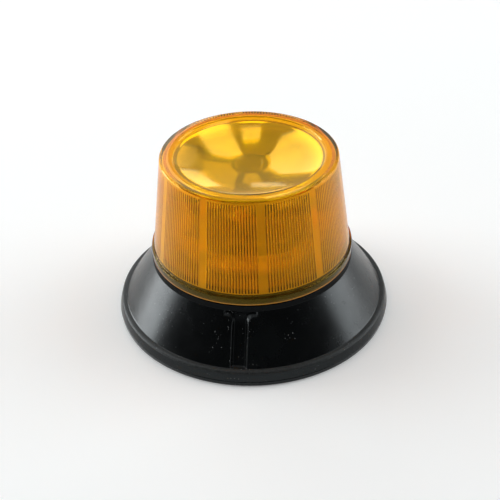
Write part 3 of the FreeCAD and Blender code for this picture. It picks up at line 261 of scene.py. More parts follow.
class Finish(Graph):
    """A material under construction round one Principled shader."""

    def __init__(self, name, **sockets):
        self.material = bpy.data.materials.new(name)
        self.material.use_nodes = True
        super().__init__(self.material.node_tree)
        self.shader = self.tree.nodes["Principled BSDF"]
        self.surface = Wire(self.tree, self.shader.outputs[0])
        for socket, value in sockets.items():
            self.set(socket.replace("_", " "), value)
        self._place = None

    def set(self, socket, value):
        """Sets a socket of the main shader, named as in Blender, to a number, a colour or a wire."""
        self._feed(self.shader.inputs[socket], value)

    def place(self):
        """The point on the piece, in its own frame, in metres."""
        if self._place is None:
            self._place = self.node("TexCoord", output="Object")
        return self._place

    def axes(self):
        """X, Y and Z of the point."""
        split = self.node("SeparateXYZ", s0=self.place()).socket.node
        return [Wire(self.tree, socket) for socket in split.outputs]

    def noise(self, scale, detail=2.0, roughness=0.5, vector=None):
        """Grey noise with `scale` features to the metre."""
        return self.node("TexNoise", Vector=vector or self.place(), Scale=scale, Detail=detail,
                         Roughness=roughness)

    def mix(self, factor, first, second):
        """A colour between two colours."""
        return self.node("Mix", {"data_type": "RGBA"}, output=2, s0=factor, s6=first, s7=second)

    def bump(self, height, strength, distance):
        """Raises the surface by a height from 0 to 1 times a distance."""
        self.set("Normal", self.node("Bump", Height=height, Strength=strength, Distance=distance))

    def lay_over(self, factor, shader):
        """Covers the surface so far with another shader, by a factor from 0 to 1."""
        self.surface = self.node("MixShader", s0=factor, s1=self.surface, s2=shader)
        self.tree.links.new(self.surface.socket, self.tree.nodes["Material Output"].inputs["Surface"])


def colour(name):
    """One of the scene's main colours as a plain tuple."""
    return tuple(getattr(bpy.context.scene.beacon_finishes, name))


def shaded(shade, share):
    """A colour times a share."""
    return tuple(share * c for c in shade)


# ------------------------------------------------ finishes

# Marks of the mould, and where the masks of the amber plastic run.
GATE_RING = 8.5 * MM            # radius of the raised ring round the moulding gate
GATE_RING_LINE = 0.5 * MM       # half the width of that ring's line
WALL_MARGIN = 0.3 * MM          # kept off the shoulder and the ceiling
MIRROR_MARGIN = 0.2 * MM        # kept off the edge of the polished dish
FOOT_BAND = 0.9 * MM            # height of the foot band that carries the painted highlight

# Shares from 0 to 1.
PAINTED_VALLEY_SHADE = 0.6                 # painted shade: the share of the wall's tint that the flutes' valleys on the inner face keep, darkening them into lines
FOOT_HIGHLIGHT_SHARE = 0.8                 # painted highlight: share of the foot band that scatters lamp light in orange
RING_CLEAR = 0.75               # how far the ring's underside loses its milk
BARE_TOP = 0.25                 # light that passes the dish's middle with no reflection


def amber_plastic():
    """Clear amber polycarbonate whose crests, inside the wall, scatter some light.

    The scattering faces lie inside the line half way through the wall, which has the radius
    R(z) = base - (z - shoulder) * slope - wall / 2, and outside the mirror. A band at the flange's foot
    scatters orange as a painted highlight, in place of light that the plastic carries down to its edge.
    Lamps reach what is behind the plastic, tinted, through the Light Path's shadow rays.
    """
    finishes, lens = bpy.context.scene.beacon_finishes, bpy.context.scene.beacon_lens
    wall, top = colour("amber_wall"), colour("amber_top")
    skin = Finish("amber polycarbonate", IOR=1.56, Transmission_Weight=1.0, Specular_Tint=(1.0, 0.75, 0.08))
    x, y, z = skin.axes()
    away = (x * x + y * y) ** 0.5
    skin.set("Roughness", skin.ramp(skin.noise(30.0, 3.0), (0.35, 0.02), (0.75, 0.07)))
    gate_ring = skin.ramp(abs(away - GATE_RING) / GATE_RING_LINE, (0.3, 1.0), (1.0, 0.0))
    skin.bump(skin.noise(260.0, 4.0) * 0.1 + gate_ring, 0.14, 0.2 * MM)

    ceiling, shoulder = LENS_HIGH - lens.top_wall, LENS_LOW + lens.flange_height
    base = LENS_RADIUS - lens.shoulder
    slope = lens.taper / (LENS_HIGH - shoulder)
    mirror_edge = base - lens.taper - lens.ring - lens.step / 2 - MIRROR_MARGIN
    depth = (shoulder - z) * slope + (base - lens.wall / 2) - away
    outside_dish = away.above(mirror_edge)
    inner = depth.above(0.0) * outside_dish * z.above(shoulder + WALL_MARGIN)
    inner = inner * (LENS_HIGH - lens.top_wall / 2 - z).above(0.0)
    crest = (depth - (lens.wall / 2 - lens.flute_depth * 0.5)).above(0.0)
    # Painted highlight: the foot band scatters orange in place of light that the plastic carries down to
    # its edge.
    foot = (LENS_LOW + FOOT_BAND - z).above(0.0)
    # Painted shade: the valleys on the inner face get a darker tint, which draws the flutes' dark lines.
    fluted = skin.mix(inner * (1.0 - crest), wall, shaded(wall, PAINTED_VALLEY_SHADE))
    skin.set("Base Color", skin.mix(outside_dish, top, fluted))

    scattered = skin.mix(foot, colour("amber_milk"), colour("painted_foot_highlight"))
    satin = skin.node("BsdfPrincipled", Base_Color=scattered, Roughness=0.3, IOR=1.56)
    under_ring = 1.0 - z.above(ceiling - WALL_MARGIN) * RING_CLEAR
    skin.lay_over(inner * under_ring * crest * finishes.milk + foot * FOOT_HIGHLIGHT_SHARE, satin)

    once = [tuple(c ** 0.5 for c in shade) for shade in (top, wall)]
    clear = skin.node("BsdfTransparent", Color=skin.mix(outside_dish, *once))
    bare = skin.ramp(away / mirror_edge, (0.7, BARE_TOP), (0.92, 0.0))
    skin.lay_over(skin.node("LightPath", output="Is Shadow Ray").at_least(bare), clear)
    return skin.material


def polished_sheet():
    """Mirror-polished sheet with a very slight waviness from pressing."""
    metal = Finish("polished sheet", Base_Color=(0.93, 0.92, 0.90), Metallic=1.0, Roughness=0.03)
    metal.bump(metal.noise(24.0, 1.5), 0.22, 0.6 * MM)
    metal.set("Roughness", metal.ramp(metal.noise(90.0, 3.0), (0.3, 0.02), (0.8, 0.06)))
    return metal.material


DUST_LEDGE = 1.6 * MM           # how far down the rim's shoulder dust lies
DUST_RISE = 0.25 * MM           # how far up the cone it lies
DULL_NECK = 0.8                 # share of the upright neck's shine that is worn off


def boot_rubber():
    """Satin black rubber: fine grain, smears, dust that gathers in the channel and on the rim's ledge."""
    black, boot = colour("rubber"), bpy.context.scene.beacon_boot
    skin = Finish("boot rubber", IOR=1.52, Specular_IOR_Level=0.32, Specular_Tint=(0.86, 0.96, 1.0))
    x, y, z = skin.axes()
    away = (x * x + y * y) ** 0.5
    smear = skin.noise(38.0, 6.0, 0.65)
    grain = skin.noise(1900.0, 2.0)
    channel = (boot.channel_width * 0.9 - abs(x)).above(0.0) * (0.0 - y).above(0.0)
    gather = skin.ramp(skin.noise(55.0, 2.0), (0.52, 0.0), (0.62, 1.0)) + channel * 0.8
    specks = skin.noise(820.0, 1.0).above(0.735) * gather
    ledge = (boot.rim_height + DUST_RISE - z).above(0.0) * (z - (boot.rim_height - DUST_LEDGE)).above(0.0)
    ledge = ledge * (away - (BOOT_RADIUS - boot.rim_taper - boot.ledge)).above(0.0)
    film = skin.ramp(skin.noise(700.0, 4.0, 0.7), (0.35, 0.25), (0.65, 1.0)) * ledge
    dusty = skin.mix(film, black, (0.030, 0.031, 0.030))
    skin.set("Base Color", skin.mix(specks, dusty, (0.22, 0.23, 0.23)))
    rough = skin.ramp(smear, (0.3, 0.19), (0.7, 0.31))
    skin.set("Roughness", skin.mix((film * 0.7 + specks), rough, (0.8, 0.8, 0.8)))
    skin.bump(grain * 0.35 + smear, 0.22, 0.3 * MM)
    dull = skin.node("BsdfPrincipled", Base_Color=black, Roughness=0.7, Specular_IOR_Level=0.03)
    skin.lay_over(z.above(BOOT_HIGH - boot.neck) * DULL_NECK, dull)
    return skin.material


def moulded(name, shade, rough, grain=900.0):
    """Moulded plastic: a fine sparked texture and a slight change of shade."""
    skin = Finish(name)
    drift = skin.noise(45.0, 3.0)
    skin.set("Base Color", skin.mix(skin.ramp(drift, (0.3, 0.0), (0.7, 1.0)), shade, shaded(shade, 0.82)))
    skin.set("Roughness", skin.ramp(drift, (0.3, rough - 0.05), (0.7, rough + 0.05)))
    skin.bump(skin.noise(grain, 2.0), 0.12, 0.1 * MM)
    return skin.material


STREAKS = (120.0, 120.0, 1440.0)


def metal(name, shade, rough):
    """Plated or bare metal: streaks across the grain and cloudy roughness."""
    skin = Finish(name, Metallic=1.0)
    grain = skin.node("Mapping", Vector=skin.place(), Scale=STREAKS)
    lines = skin.noise(4.0, 5.0, 0.6, vector=grain)
    skin.set("Base Color", skin.mix(skin.ramp(lines, (0.35, 0.0), (0.7, 1.0)), shade, shaded(shade, 0.78)))
    skin.set("Roughness", skin.ramp(lines, (0.3, rough - 0.06), (0.7, rough + 0.08)))
    skin.bump(lines, 0.1, 0.05 * MM)
    return skin.material


REFLECTOR_TURN = math.radians(-35.0)
REFLECTOR_FOCUS = 13 * MM
REFLECTOR_WALL = 1.4 * MM
REFLECTOR_AXIS = 23 * MM        # depth of the lamp's level under the reflector's top
REFLECTOR_FOOT = 6 * MM         # height of the dark foot


def metallised_bowl():
    """Vacuum-metallised bowl of the reflector over dark plastic.

    The bright side is where a point lies nearer to the lamp than the middle of the wall, which is the
    paraboloid x = r^2 / (4 f) - f - wall / 2 about the lamp.
    """
    low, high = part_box("reflector")
    centre = high.z - REFLECTOR_AXIS
    across, along = math.sin(REFLECTOR_TURN), math.cos(REFLECTOR_TURN)
    skin = Finish("metallised bowl")
    x, y, z = skin.axes()
    z = z - centre
    ahead = x * along + y * across
    aside = y * along - x * across
    bowl = (aside * aside + z * z) / (4 * REFLECTOR_FOCUS)
    inside = (ahead - bowl + REFLECTOR_FOCUS + REFLECTOR_WALL / 2).above(0.0)
    inside = inside * z.above(low.z - centre + REFLECTOR_FOOT)
    skin.set("Metallic", inside)
    skin.set("Base Color", skin.mix(inside, (0.012, 0.011, 0.010), (0.38, 0.38, 0.37)))
    skin.set("Roughness", skin.ramp(inside, (0.0, 0.42), (1.0, 0.05)))
    skin.bump(skin.noise(60.0, 2.0), 0.05, 0.3 * MM)
    return skin.material


def lamp_glass():
    """Thin clear glass."""
    glass = Finish("lamp glass", Base_Color=(0.98, 0.99, 1.0), Transmission_Weight=1.0, IOR=1.45)
    glass.set("Roughness", glass.ramp(glass.noise(120.0, 2.0), (0.4, 0.0), (0.8, 0.05)))
    return glass.material


# ------------------------------------------------ surfaces

def rounded(corners, steps=5):
    """A profile whose corners are rounded off.

    Each corner is (radius from the axis, height, rounding). The rounding is an arc tangent to both sides:
    it starts rounding * tan(half the turn) before the corner and turns evenly about its centre.
    """
    points = []
    for before, here, after in zip([corners[0], *corners[:-1]], corners, [*corners[1:], corners[-1]]):
        corner = np.array(here[:2])
        if here[2] == 0:
            points.append(corner)
            continue
        inward = corner - np.array(before[:2])
        outward = np.array(after[:2]) - corner
        inward /= np.linalg.norm(inward)
        outward /= np.linalg.norm(outward)
        cross = inward[0] * outward[1] - inward[1] * outward[0]
        turn = math.atan2(cross, float(inward @ outward))
        reach = abs(here[2] * math.tan(turn / 2))
        start = corner - inward * reach
        side = np.array([-inward[1], inward[0]]) * math.copysign(here[2], turn)
        centre = start + side
        for angle in np.linspace(0, turn, steps):
            c, s = math.cos(angle), math.sin(angle)
            arm = start - centre
            points.append(centre + np.array([c * arm[0] - s * arm[1], s * arm[0] + c * arm[1]]))
    return np.array(points)


def arc_between(start, end, radius, steps):
    """Points from start to end on an arc of the given radius, which turns to the left."""
    start, end = np.array(start), np.array(end)
    chord = end - start
    span_length = np.linalg.norm(chord)
    left = np.array([-chord[1], chord[0]]) / span_length
    centre = (start + end) / 2 + left * math.sqrt(radius ** 2 - span_length ** 2 / 4)
    first = math.atan2(*(start - centre)[::-1])
    last = math.atan2(*(end - centre)[::-1])
    sweep = (last - first + math.pi) % (2 * math.pi) - math.pi
    angles = first + sweep * np.linspace(0, 1, steps)
    return centre + radius * np.stack([np.cos(angles), np.sin(angles)], axis=1)


def subdivided(profile, longest):
    """The profile with points added so that no step is longer than `longest`."""
    out = [profile[:1]]
    for a, b in zip(profile[:-1], profile[1:]):
        count = max(1, math.ceil(np.linalg.norm(b - a) / longest))
        out.append(a + (b - a) * (np.arange(1, count + 1) / count)[:, None])
    return np.concatenate(out)


def add_piece(name, points, faces, material, body, sharp):
    """A smooth-shaded mesh object from corner points and faces given as rows of corner numbers."""
    mesh = bpy.data.meshes.new(name)
    mesh.from_pydata(points.tolist(), [], [row for block in faces for row in block.tolist()])
    mesh.validate()
    mesh.shade_smooth()
    mesh.set_sharp_from_angle(angle=math.radians(sharp))
    mesh.materials.append(material)
    piece = bpy.data.objects.new(name, mesh)
    bpy.context.scene.collection.objects.link(piece)
    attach(piece, body)
    return piece


def turned_points(profile, angles, radius_change=None):
    """Grid of points: row i, column j is profile point i turned to angle j.

    x = (r + change) cos(angle), y = (r + change) sin(angle), z = height.
    """
    radius = np.repeat(profile[:, :1], len(angles), axis=1)
    if radius_change is not None:
        radius = radius + radius_change
    height = np.repeat(profile[:, 1:], len(angles), axis=1)
    return np.stack([radius * np.cos(angles), radius * np.sin(angles), height], axis=2)


def grid_faces(rows, columns, closed_rows=False):
    """Quads of a grid that closes round its columns, and round its rows too where asked."""
    count = rows if closed_rows else rows - 1
    i = np.arange(count)[:, None]
    j = np.arange(columns)[None, :]
    following, right = (i + 1) % rows, (j + 1) % columns
    quads = [i * columns + j, i * columns + right, following * columns + right, following * columns + j]
    return np.stack(np.broadcast_arrays(*quads), axis=2).reshape(-1, 4)


def closed_turned(name, grid, material, body, sharp=35.0):
    """A closed skin from a grid whose first and last rows lie on the axis; each becomes one point."""
    rows, columns = grid.shape[:2]
    points = np.concatenate([grid[0, :1], grid[1:-1].reshape(-1, 3), grid[-1, :1]])
    quads = grid_faces(rows - 2, columns) + 1
    j = np.arange(columns)
    right = (j + 1) % columns
    start = np.stack([np.zeros_like(j), 1 + right, 1 + j], axis=1)
    tail = 1 + (rows - 3) * columns
    end = np.stack([np.full_like(j, len(points) - 1), tail + j, tail + right], axis=1)
    return add_piece(name, points, [start, quads, end], material, body, sharp)


def ring_turned(name, grid, material, body, sharp):
    """A closed skin from a grid whose rows close round the section of a ring."""
    rows, columns = grid.shape[:2]
    quads = grid_faces(rows, columns, closed_rows=True)
    return add_piece(name, grid.reshape(-1, 3), [quads], material, body, sharp)


def even_angles(count):
    """Angles round a whole turn, in equal steps from 0."""
    return np.arange(count) * (2 * math.pi / count)


def smooth_step(value):
    """0 below 0, 1 above 1, and 3 v^2 - 2 v^3 between."""
    v = np.clip(value, 0.0, 1.0)
    return v * v * (3 - 2 * v)


# ------------------------------------------------ lens

FLUTE_STEPS = 5
STRIP_STEPS = 6
FLUTE_ENDS = np.array([0.0, 0.35, 0.7, 1.05, 1.4, 1.8, 2.3, 3.0]) * MM     # levels near the flutes' ends
FLUTE_FADE = 0.7 * MM           # height over which a flute's end rises
FLUTE_FOOT = 0.6 * MM           # from the shoulder up to the flutes
FLUTE_HEAD = 1.0 * MM           # from the ceiling down to them
FLUTE_PLAIN = 12 * MM           # from an end to the first level of the straight part
FLUTED_SHARE = 0.9              # of the way round that the ends count as fluted
ARC_STEPS = 12


def flute_columns(lens):
    """Angles of the columns round the lens, and for each its place across a flute, -1 to 1.

    A column on a plain strip has the place 1, which is the crest between two flutes.
    """
    panel = 2 * math.pi / lens.panels
    pitch = (panel - lens.strip) / lens.flutes
    strip = lens.strip * (np.arange(STRIP_STEPS) / STRIP_STEPS - 0.5)
    across = np.tile(np.arange(FLUTE_STEPS) / FLUTE_STEPS, lens.flutes)
    inside = lens.strip / 2 + pitch * (np.repeat(np.arange(lens.flutes), FLUTE_STEPS) + across)
    one = np.concatenate([strip, inside])
    place = np.concatenate([np.ones(STRIP_STEPS), 2 * across - 1])
    angles = lens.strip_turn + (one[None, :] + panel * np.arange(lens.panels)[:, None]).ravel()
    return angles, np.tile(place, lens.panels)


def lens_profile(lens):
    """Outline of the lens from the middle of its top, down the outside and back up the inside.

    Returns the points and the numbers of the first and last row of the fluted wall.
    """
    foot, shoulder = LENS_LOW, LENS_LOW + lens.flange_height
    base = LENS_RADIUS - lens.shoulder
    top = base - lens.taper
    rim = top - lens.ring
    edge = rim - lens.step / 2
    dish_edge, dish_floor = LENS_HIGH - lens.step, LENS_HIGH - lens.step - lens.dish
    dish = arc_between((lens.dish_flat, dish_floor), (edge, dish_edge), lens.dish_curve, ARC_STEPS)
    outside = rounded([
        (*dish[-2], 0), (*dish[-1], 0.35 * MM), (rim, LENS_HIGH, 0.45 * MM), (top, LENS_HIGH, 1.7 * MM),
        (base, shoulder, 0.5 * MM), (LENS_RADIUS, shoulder, 0.6 * MM), (LENS_RADIUS, foot, 0.4 * MM),
        (base - lens.wall, foot, 0.3 * MM),
    ])
    slope = lens.taper / (LENS_HIGH - shoulder)
    ceiling = LENS_HIGH - lens.top_wall
    inner_top = base - (ceiling - shoulder) * slope - lens.wall
    low, high = shoulder + FLUTE_FOOT, ceiling - FLUTE_HEAD
    straight = np.linspace(low + FLUTE_PLAIN, high - FLUTE_PLAIN, 3)
    levels = np.concatenate([low + FLUTE_ENDS, straight, high - FLUTE_ENDS[::-1]])
    wall = np.stack([base - (levels - shoulder) * slope - lens.wall, levels], axis=1)
    under = arc_between((lens.dish_flat, dish_floor - lens.top_wall), (edge, dish_edge - lens.top_wall),
                        lens.dish_curve + lens.top_wall, ARC_STEPS)
    rows = [
        np.array([[0.0, dish_floor], [lens.dish_flat * 0.5, dish_floor]]), dish[:-2], outside,
        np.array([[base - lens.wall, shoulder]]), wall,
        np.array([[inner_top, ceiling], [edge, dish_edge - lens.top_wall]]), under[-2::-1],
        np.array([[lens.dish_flat * 0.5, dish_floor - lens.top_wall], [0.0, dish_floor - lens.top_wall]]),
    ]
    first = sum(len(block) for block in rows[:4])
    return np.concatenate(rows), first, first + len(wall)


def flute_change(lens, profile, first, last, place):
    """How far each point of the inner wall moves out: a half round per flute, with a round end.

    Across a flute the depth is depth * (cos(pi * place) + 1) / 2. The end rises from the wall where the
    level is above low + w (1 - sqrt(1 - place^2)), with w half the width of a flute.
    """
    change = np.zeros((len(profile), len(place)))
    levels = profile[first:last, 1][:, None]
    half = math.pi * profile[first, 0] / lens.panels / lens.flutes * FLUTED_SHARE
    bow = half * (1 - np.sqrt(1 - np.clip(place, -1, 1) ** 2))[None, :]
    up = smooth_step((levels - levels[0] - bow) / FLUTE_FADE)
    down = smooth_step((levels[-1] - levels - bow) / FLUTE_FADE)
    across = (np.cos(math.pi * place) + 1) / 2
    change[first:last] = lens.flute_depth * across[None, :] * up * down
    return change


def build_lens():
    """The amber cover with its flutes."""
    lens = bpy.context.scene.beacon_lens
    angles, place = flute_columns(lens)
    profile, first, last = lens_profile(lens)
    grid = turned_points(profile, angles, flute_change(lens, profile, first, last, place))
    piece = closed_turned("lens_fluted", grid[::-1], amber_plastic(), "lens_cover", 40.0)
    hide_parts("lens")


SHEET = 0.8 * MM
SHEET_GAP = 0.2 * MM            # from the dish's underside to the sheet


def build_heat_shield():
    """A polished pressing that follows the underside of the dish."""
    lens = bpy.context.scene.beacon_lens
    curve = lens.dish_curve + lens.top_wall + SHEET_GAP
    high_edge = (SHIELD_RADIUS, SHIELD_HIGH)
    top = arc_between((lens.dish_flat, SHIELD_LOW + SHEET), high_edge, curve, 2 * ARC_STEPS)
    low_edge = (SHIELD_RADIUS, SHIELD_HIGH - SHEET)
    under = arc_between((lens.dish_flat, SHIELD_LOW), low_edge, curve + SHEET, 2 * ARC_STEPS)
    middle = lens.dish_flat * 0.5
    profile = np.concatenate([
        np.array([[0.0, SHIELD_LOW + SHEET], [middle, SHIELD_LOW + SHEET]]), top, under[::-1],
        np.array([[middle, SHIELD_LOW], [0.0, SHIELD_LOW]]),
    ])
    grid = turned_points(profile, even_angles(180))
    piece = closed_turned("shield_pressing", grid[::-1], polished_sheet(), "lens_cover")
    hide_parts("heat_shield")


# ------------------------------------------------ rubber boot

NICK = 0.25 * MM                # half the width of the seam round the rim
LIP_SEAT = 3.4 * MM             # height of the lip's inner face, over the housing's flange
LIP_GAP = 0.1 * MM              # from the housing's flange out to the lip
WEB = 3 * MM                    # thickness of the web under the housing
HOUSING_BORE = 60.1 * MM        # radius that clears the housing
SPIGOT_BORE = 29.1 * MM         # radius that clears the housing's spigot
CONE_STEP = 0.5 * MM            # longest step up the cone, where the channel lies


def boot_profile(boot):
    """Closed section of the boot, from the inside of the rim out, up the cone, and back down inside.

    Returns the points and the numbers of the first and the last row that the channel moves.
    """
    foot = BOOT_RADIUS - boot.rim_taper - boot.ledge
    lip = HOUSING_FLANGE + LIP_GAP + boot.lip
    neck = BOOT_HIGH - boot.neck
    run, rise = foot - lip, neck - boot.rim_height
    slant = np.array([-run, rise]) / math.hypot(run, rise)
    seam = boot.seam_height
    start = np.array([foot, boot.rim_height]) + slant * 1.2 * MM
    end = np.array([lip, neck]) - slant * 0.35 * MM
    rim = rounded([
        (BOOT_RADIUS - boot.rim_depth, 0.0, 0), (BOOT_RADIUS - 0.4 * MM, 0.0, 0.8 * MM),
        (BOOT_RADIUS, seam - NICK, 0.1 * MM), (BOOT_RADIUS - 1.4 * NICK, seam, 0.05 * MM),
        (BOOT_RADIUS - 0.1 * MM, seam + NICK, 0.1 * MM),
        (BOOT_RADIUS - boot.rim_taper, boot.rim_height, 2.4 * MM), (foot, boot.rim_height, 0.6 * MM),
        (*start, 0),
    ])
    cone = subdivided(np.array([start, end]), CONE_STEP)
    under = BOOT_HIGH - LIP_SEAT
    top = rounded([
        (*end, 0), (lip, neck, 0.5 * MM), (lip, BOOT_HIGH, 0.4 * MM), (lip - boot.lip, BOOT_HIGH, 0.3 * MM),
        (lip - boot.lip, under, 0),
    ])
    slope = run / rise
    wall = boot.wall * math.sqrt(1 + slope ** 2)
    web_low, web_high = HOUSING_LOW, HOUSING_LOW + WEB
    clasp = neck - boot.wall

    def inside(level):
        """Radius of the cone's inner face at a level."""
        return foot - (level - boot.rim_height) * slope - wall

    hollow = np.array([
        (HOUSING_BORE, under), (HOUSING_BORE, clasp), (inside(clasp), clasp),
        (inside(web_high), web_high), (SPIGOT_BORE, web_high), (SPIGOT_BORE, web_low),
        (inside(web_high), web_low),
    ])
    points = np.concatenate([rim, cone[1:], top, hollow])
    return points, len(rim) - 4, len(rim) + len(cone) - 1


CORNER_BLEND = 5.0 * MM         # k in the formula of channel_depth
ROUND_OFF = 2.4 * MM            # width of the channel's sloping sides
SHALLOWER = 0.3                 # share of the depth that the recess loses at the neck


def channel_depth(boot, grid):
    """How far each point of the cone moves in for the cable channel and the flared recess above it.

    The plan is a strip |x| < width / 2 joined to a slot just under the neck. Each has a distance that is
    negative inside, a and b. They are blended as min(a, b) - h^2 k / 4 with h = 1 - |a - b| / k, which
    rounds the corners between them. The depth is a smooth step in that distance.
    """
    x, y, z = np.moveaxis(grid, 2, 0)
    down = BOOT_HIGH - boot.neck - z
    strip = np.abs(x) - boot.channel_width / 2
    beside = np.abs(x) - boot.head_width / 2
    slot = np.maximum(beside, np.abs(down - boot.head_height / 2) - boot.head_height / 2)
    near = np.clip(1 - np.abs(strip - slot) / CORNER_BLEND, 0, 1)
    inside = np.minimum(strip, slot) - near ** 2 * CORNER_BLEND / 4
    depth = boot.channel_depth * smooth_step(0.35 - inside / ROUND_OFF)
    shallow = 1 - SHALLOWER * smooth_step(1 - down / (3 * boot.head_height))
    return depth * shallow * (y < 0)


def boot_columns():
    """Angles round the boot: every degree, and every fifth of a degree near the channel."""
    dense = math.radians(12.0)
    near = np.arange(-dense, dense, math.radians(0.2))
    far = np.linspace(dense, 2 * math.pi - dense, 336, endpoint=False)
    return np.concatenate([near, far]) - math.pi / 2


def build_boot():
    """The rubber skirt with its cable channel."""
    boot = bpy.context.scene.beacon_boot
    profile, first, last = boot_profile(boot)
    angles = boot_columns()
    plain = turned_points(profile, angles)
    moved = np.zeros(plain.shape[:2])
    moved[first:last] = channel_depth(boot, plain[first:last])
    grid = turned_points(profile, angles, -moved)
    piece = ring_turned("boot_skirt", grid, boot_rubber(), "base", 50.0)
    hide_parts("rubber_boot")


# ------------------------------------------------ finishes on the CAD pieces

def dress(material, *nodes):
    """Gives some CAD pieces one material."""
    for node in nodes:
        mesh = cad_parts[node].data
        mesh.materials.clear()
        mesh.materials.append(material)


def dress_mechanism():
    """Gives each inner piece its finish."""
    zinc = metal("zinc plate", (0.46, 0.47, 0.48), 0.28)
    dress(zinc, "chassis_plate", "chassis_screws", "motor_can", "motor_screws", "spindle", "retaining_clip")
    dress(zinc, "magnet_cup", "magnet_screw", "magnet_nut", "shield_washers", "reflector_screws",
          "terminal_screws")
    dress(metal("ground steel", (0.56, 0.57, 0.58), 0.18), "motor_shaft")
    dress(metal("bronze", (0.72, 0.50, 0.26), 0.28), "bearing_bush", "spindle_rivets")
    dress(metal("bright brass", (0.86, 0.66, 0.30), 0.22), "drive_pinion", "motor_tags", "bulb_collar")
    dress(metal("tungsten wire", (0.42, 0.42, 0.42), 0.35), "bulb_filament")
    dress(moulded("white acetal", (0.80, 0.79, 0.74), 0.38), "drive_gear", "thrust_washer")
    dress(moulded("black nylon", (0.020, 0.020, 0.021), 0.46), "base_housing", "motor_end_cap")
    dress(moulded("choke sleeve", (0.022, 0.023, 0.03), 0.30), "suppression_choke")
    dress(moulded("brown phenolic", (0.16, 0.07, 0.035), 0.40), "bulb_holder")
    dress(moulded("ivory polyamide", (0.74, 0.72, 0.62), 0.40), "terminal_block")
    dress(moulded("sealing rubber", (0.016, 0.016, 0.017), 0.60), "lens_seal", "cable_grommet")
    dress(moulded("red insulation", (0.42, 0.03, 0.02), 0.35), "motor_leads", "lamp_leads")
    dress(moulded("ferrite", (0.06, 0.06, 0.062), 0.55, 500.0), "ring_magnet")
    dress(metallised_bowl(), "reflector")
    dress(lamp_glass(), "bulb_glass")


# ------------------------------------------------ stage

FLOOR_LIFT = 0.14               # how much lighter the floor looks than it lights
FLOOR_REACH = 30.0
FLOOR_DROP = 0.05 * MM          # under the standing face
FADE_OVER = 5.0                 # radius over which the floor fades to the backdrop
FADE_STOPS = ((0.2, FLOOR_LIFT), (0.8, 0.95))
PAPER_CLOUD = 0.985             # the darker shade of the paper's mottle


def studio_floor():
    """Pale paper floor with a faint mottle, a little lighter to the eye than the light that it sends on.

    Past a metre it runs up to white, which the eye, mirrors and clear plastic see as the backdrop.
    """
    pale = colour("floor")
    paper = Finish("studio paper", Roughness=0.75, Specular_IOR_Level=0.1, Emission_Strength=1.0)
    paper.set("Base Color", paper.mix(paper.noise(3.0, 2.0), pale, shaded(pale, PAPER_CLOUD)))
    x, y, _ = paper.axes()
    away = (x * x + y * y) ** 0.5
    paper.set("Emission Color", paper.shown() * paper.ramp(away / FADE_OVER, *FADE_STOPS))
    return paper.material


def build_floor():
    """One large square just under the beacon."""
    mesh = bpy.data.meshes.new("studio_floor")
    reach, level = FLOOR_REACH, CAD_BOX[0].z - FLOOR_DROP
    corners = [(x * reach, y * reach, level) for x, y in ((-1, -1), (1, -1), (1, 1), (-1, 1))]
    mesh.from_pydata(corners, [], [(0, 1, 2, 3)])
    mesh.materials.append(studio_floor())
    floor = bpy.data.objects.new("studio_floor", mesh)
    bpy.context.scene.collection.objects.link(floor)


CAMERA_TURN = math.radians(7.5)
CAMERA_TILT = math.radians(35.4)
CAMERA_ROLL = math.radians(-1.96)
CAMERA_DISTANCE = 0.667
CAMERA_AIM = (-0.0014, 0.0, 0.0386)
CAMERA_LENS = 72.0
CAMERA_FRAME = 36.0

LAMP_DISTANCE = 3.0
DARK_ROOM = (0.05, 0.052, 0.054)
BACKDROP_STOPS = ((0.06, 1.0), (0.16, 0.0))     # by how steeply the view rises

# Name, azimuth, elevation, width and height in degrees, radiance, roll in degrees.
LAMPS = (
    ("overhead bank", 0, 86, 50, 46, 0.6, 0),
    ("left upper bank", -78, 46, 44, 30, 2.3, 0),
    ("right upper bank", 78, 46, 44, 30, 2.3, 0),
    ("left bank", -71, 9, 40, 24, 8.2, 0),
    ("right bank", 81, 11, 40, 18, 5.4, 0),
    ("back wall", 0, 32, 70, 56, 0.4, 0),
    ("left back panel", -24, 28, 34, 27, 1.5, 17),
    ("right back panel", 7.2, 46, 4.8, 22, 1.5, -12),
    ("dim panel", 11, 30, 6, 14, 0.5, -12),
    ("top panel", -0.5, 47.8, 3.2, 4.6, 1.5, 0),
    ("low panel", 4.2, 17.5, 1.0, 11, 1.5, -19),
    ("low square", -0.9, 12.5, 1.8, 2.4, 1.6, 0),
)


def softbox(name, azimuth, elevation, wide, high, radiance, roll):
    """A rectangular lamp of an even radiance, aimed at the dish.

    Azimuth is 0 straight behind the beacon, as seen from the camera, and grows to the right. Width and
    height are the degrees that the lamp fills from the dish. Its power is radiance * pi * area.
    """
    lamp = bpy.data.lights.new(name, "AREA")
    lamp.shape = "RECTANGLE"
    lamp.size = 2 * LAMP_DISTANCE * math.tan(math.radians(wide / 2))
    lamp.size_y = 2 * LAMP_DISTANCE * math.tan(math.radians(high / 2))
    lamp.energy = radiance * math.pi * lamp.size * lamp.size_y
    holder = bpy.data.objects.new(name, lamp)
    holder.visible_camera = False
    bpy.context.scene.collection.objects.link(holder)
    turn, rise = math.radians(azimuth) - CAMERA_TURN, math.radians(elevation)
    out = Vector((math.sin(turn) * math.cos(rise), math.cos(turn) * math.cos(rise), math.sin(rise)))
    spin = Matrix.Rotation(math.radians(-roll), 4, "Z")
    holder.matrix_world = Matrix.Translation(Vector((0, 0, LENS_HIGH)) + out * LAMP_DISTANCE) @ (
        (-out).to_track_quat("-Z", "Y").to_matrix().to_4x4() @ spin)


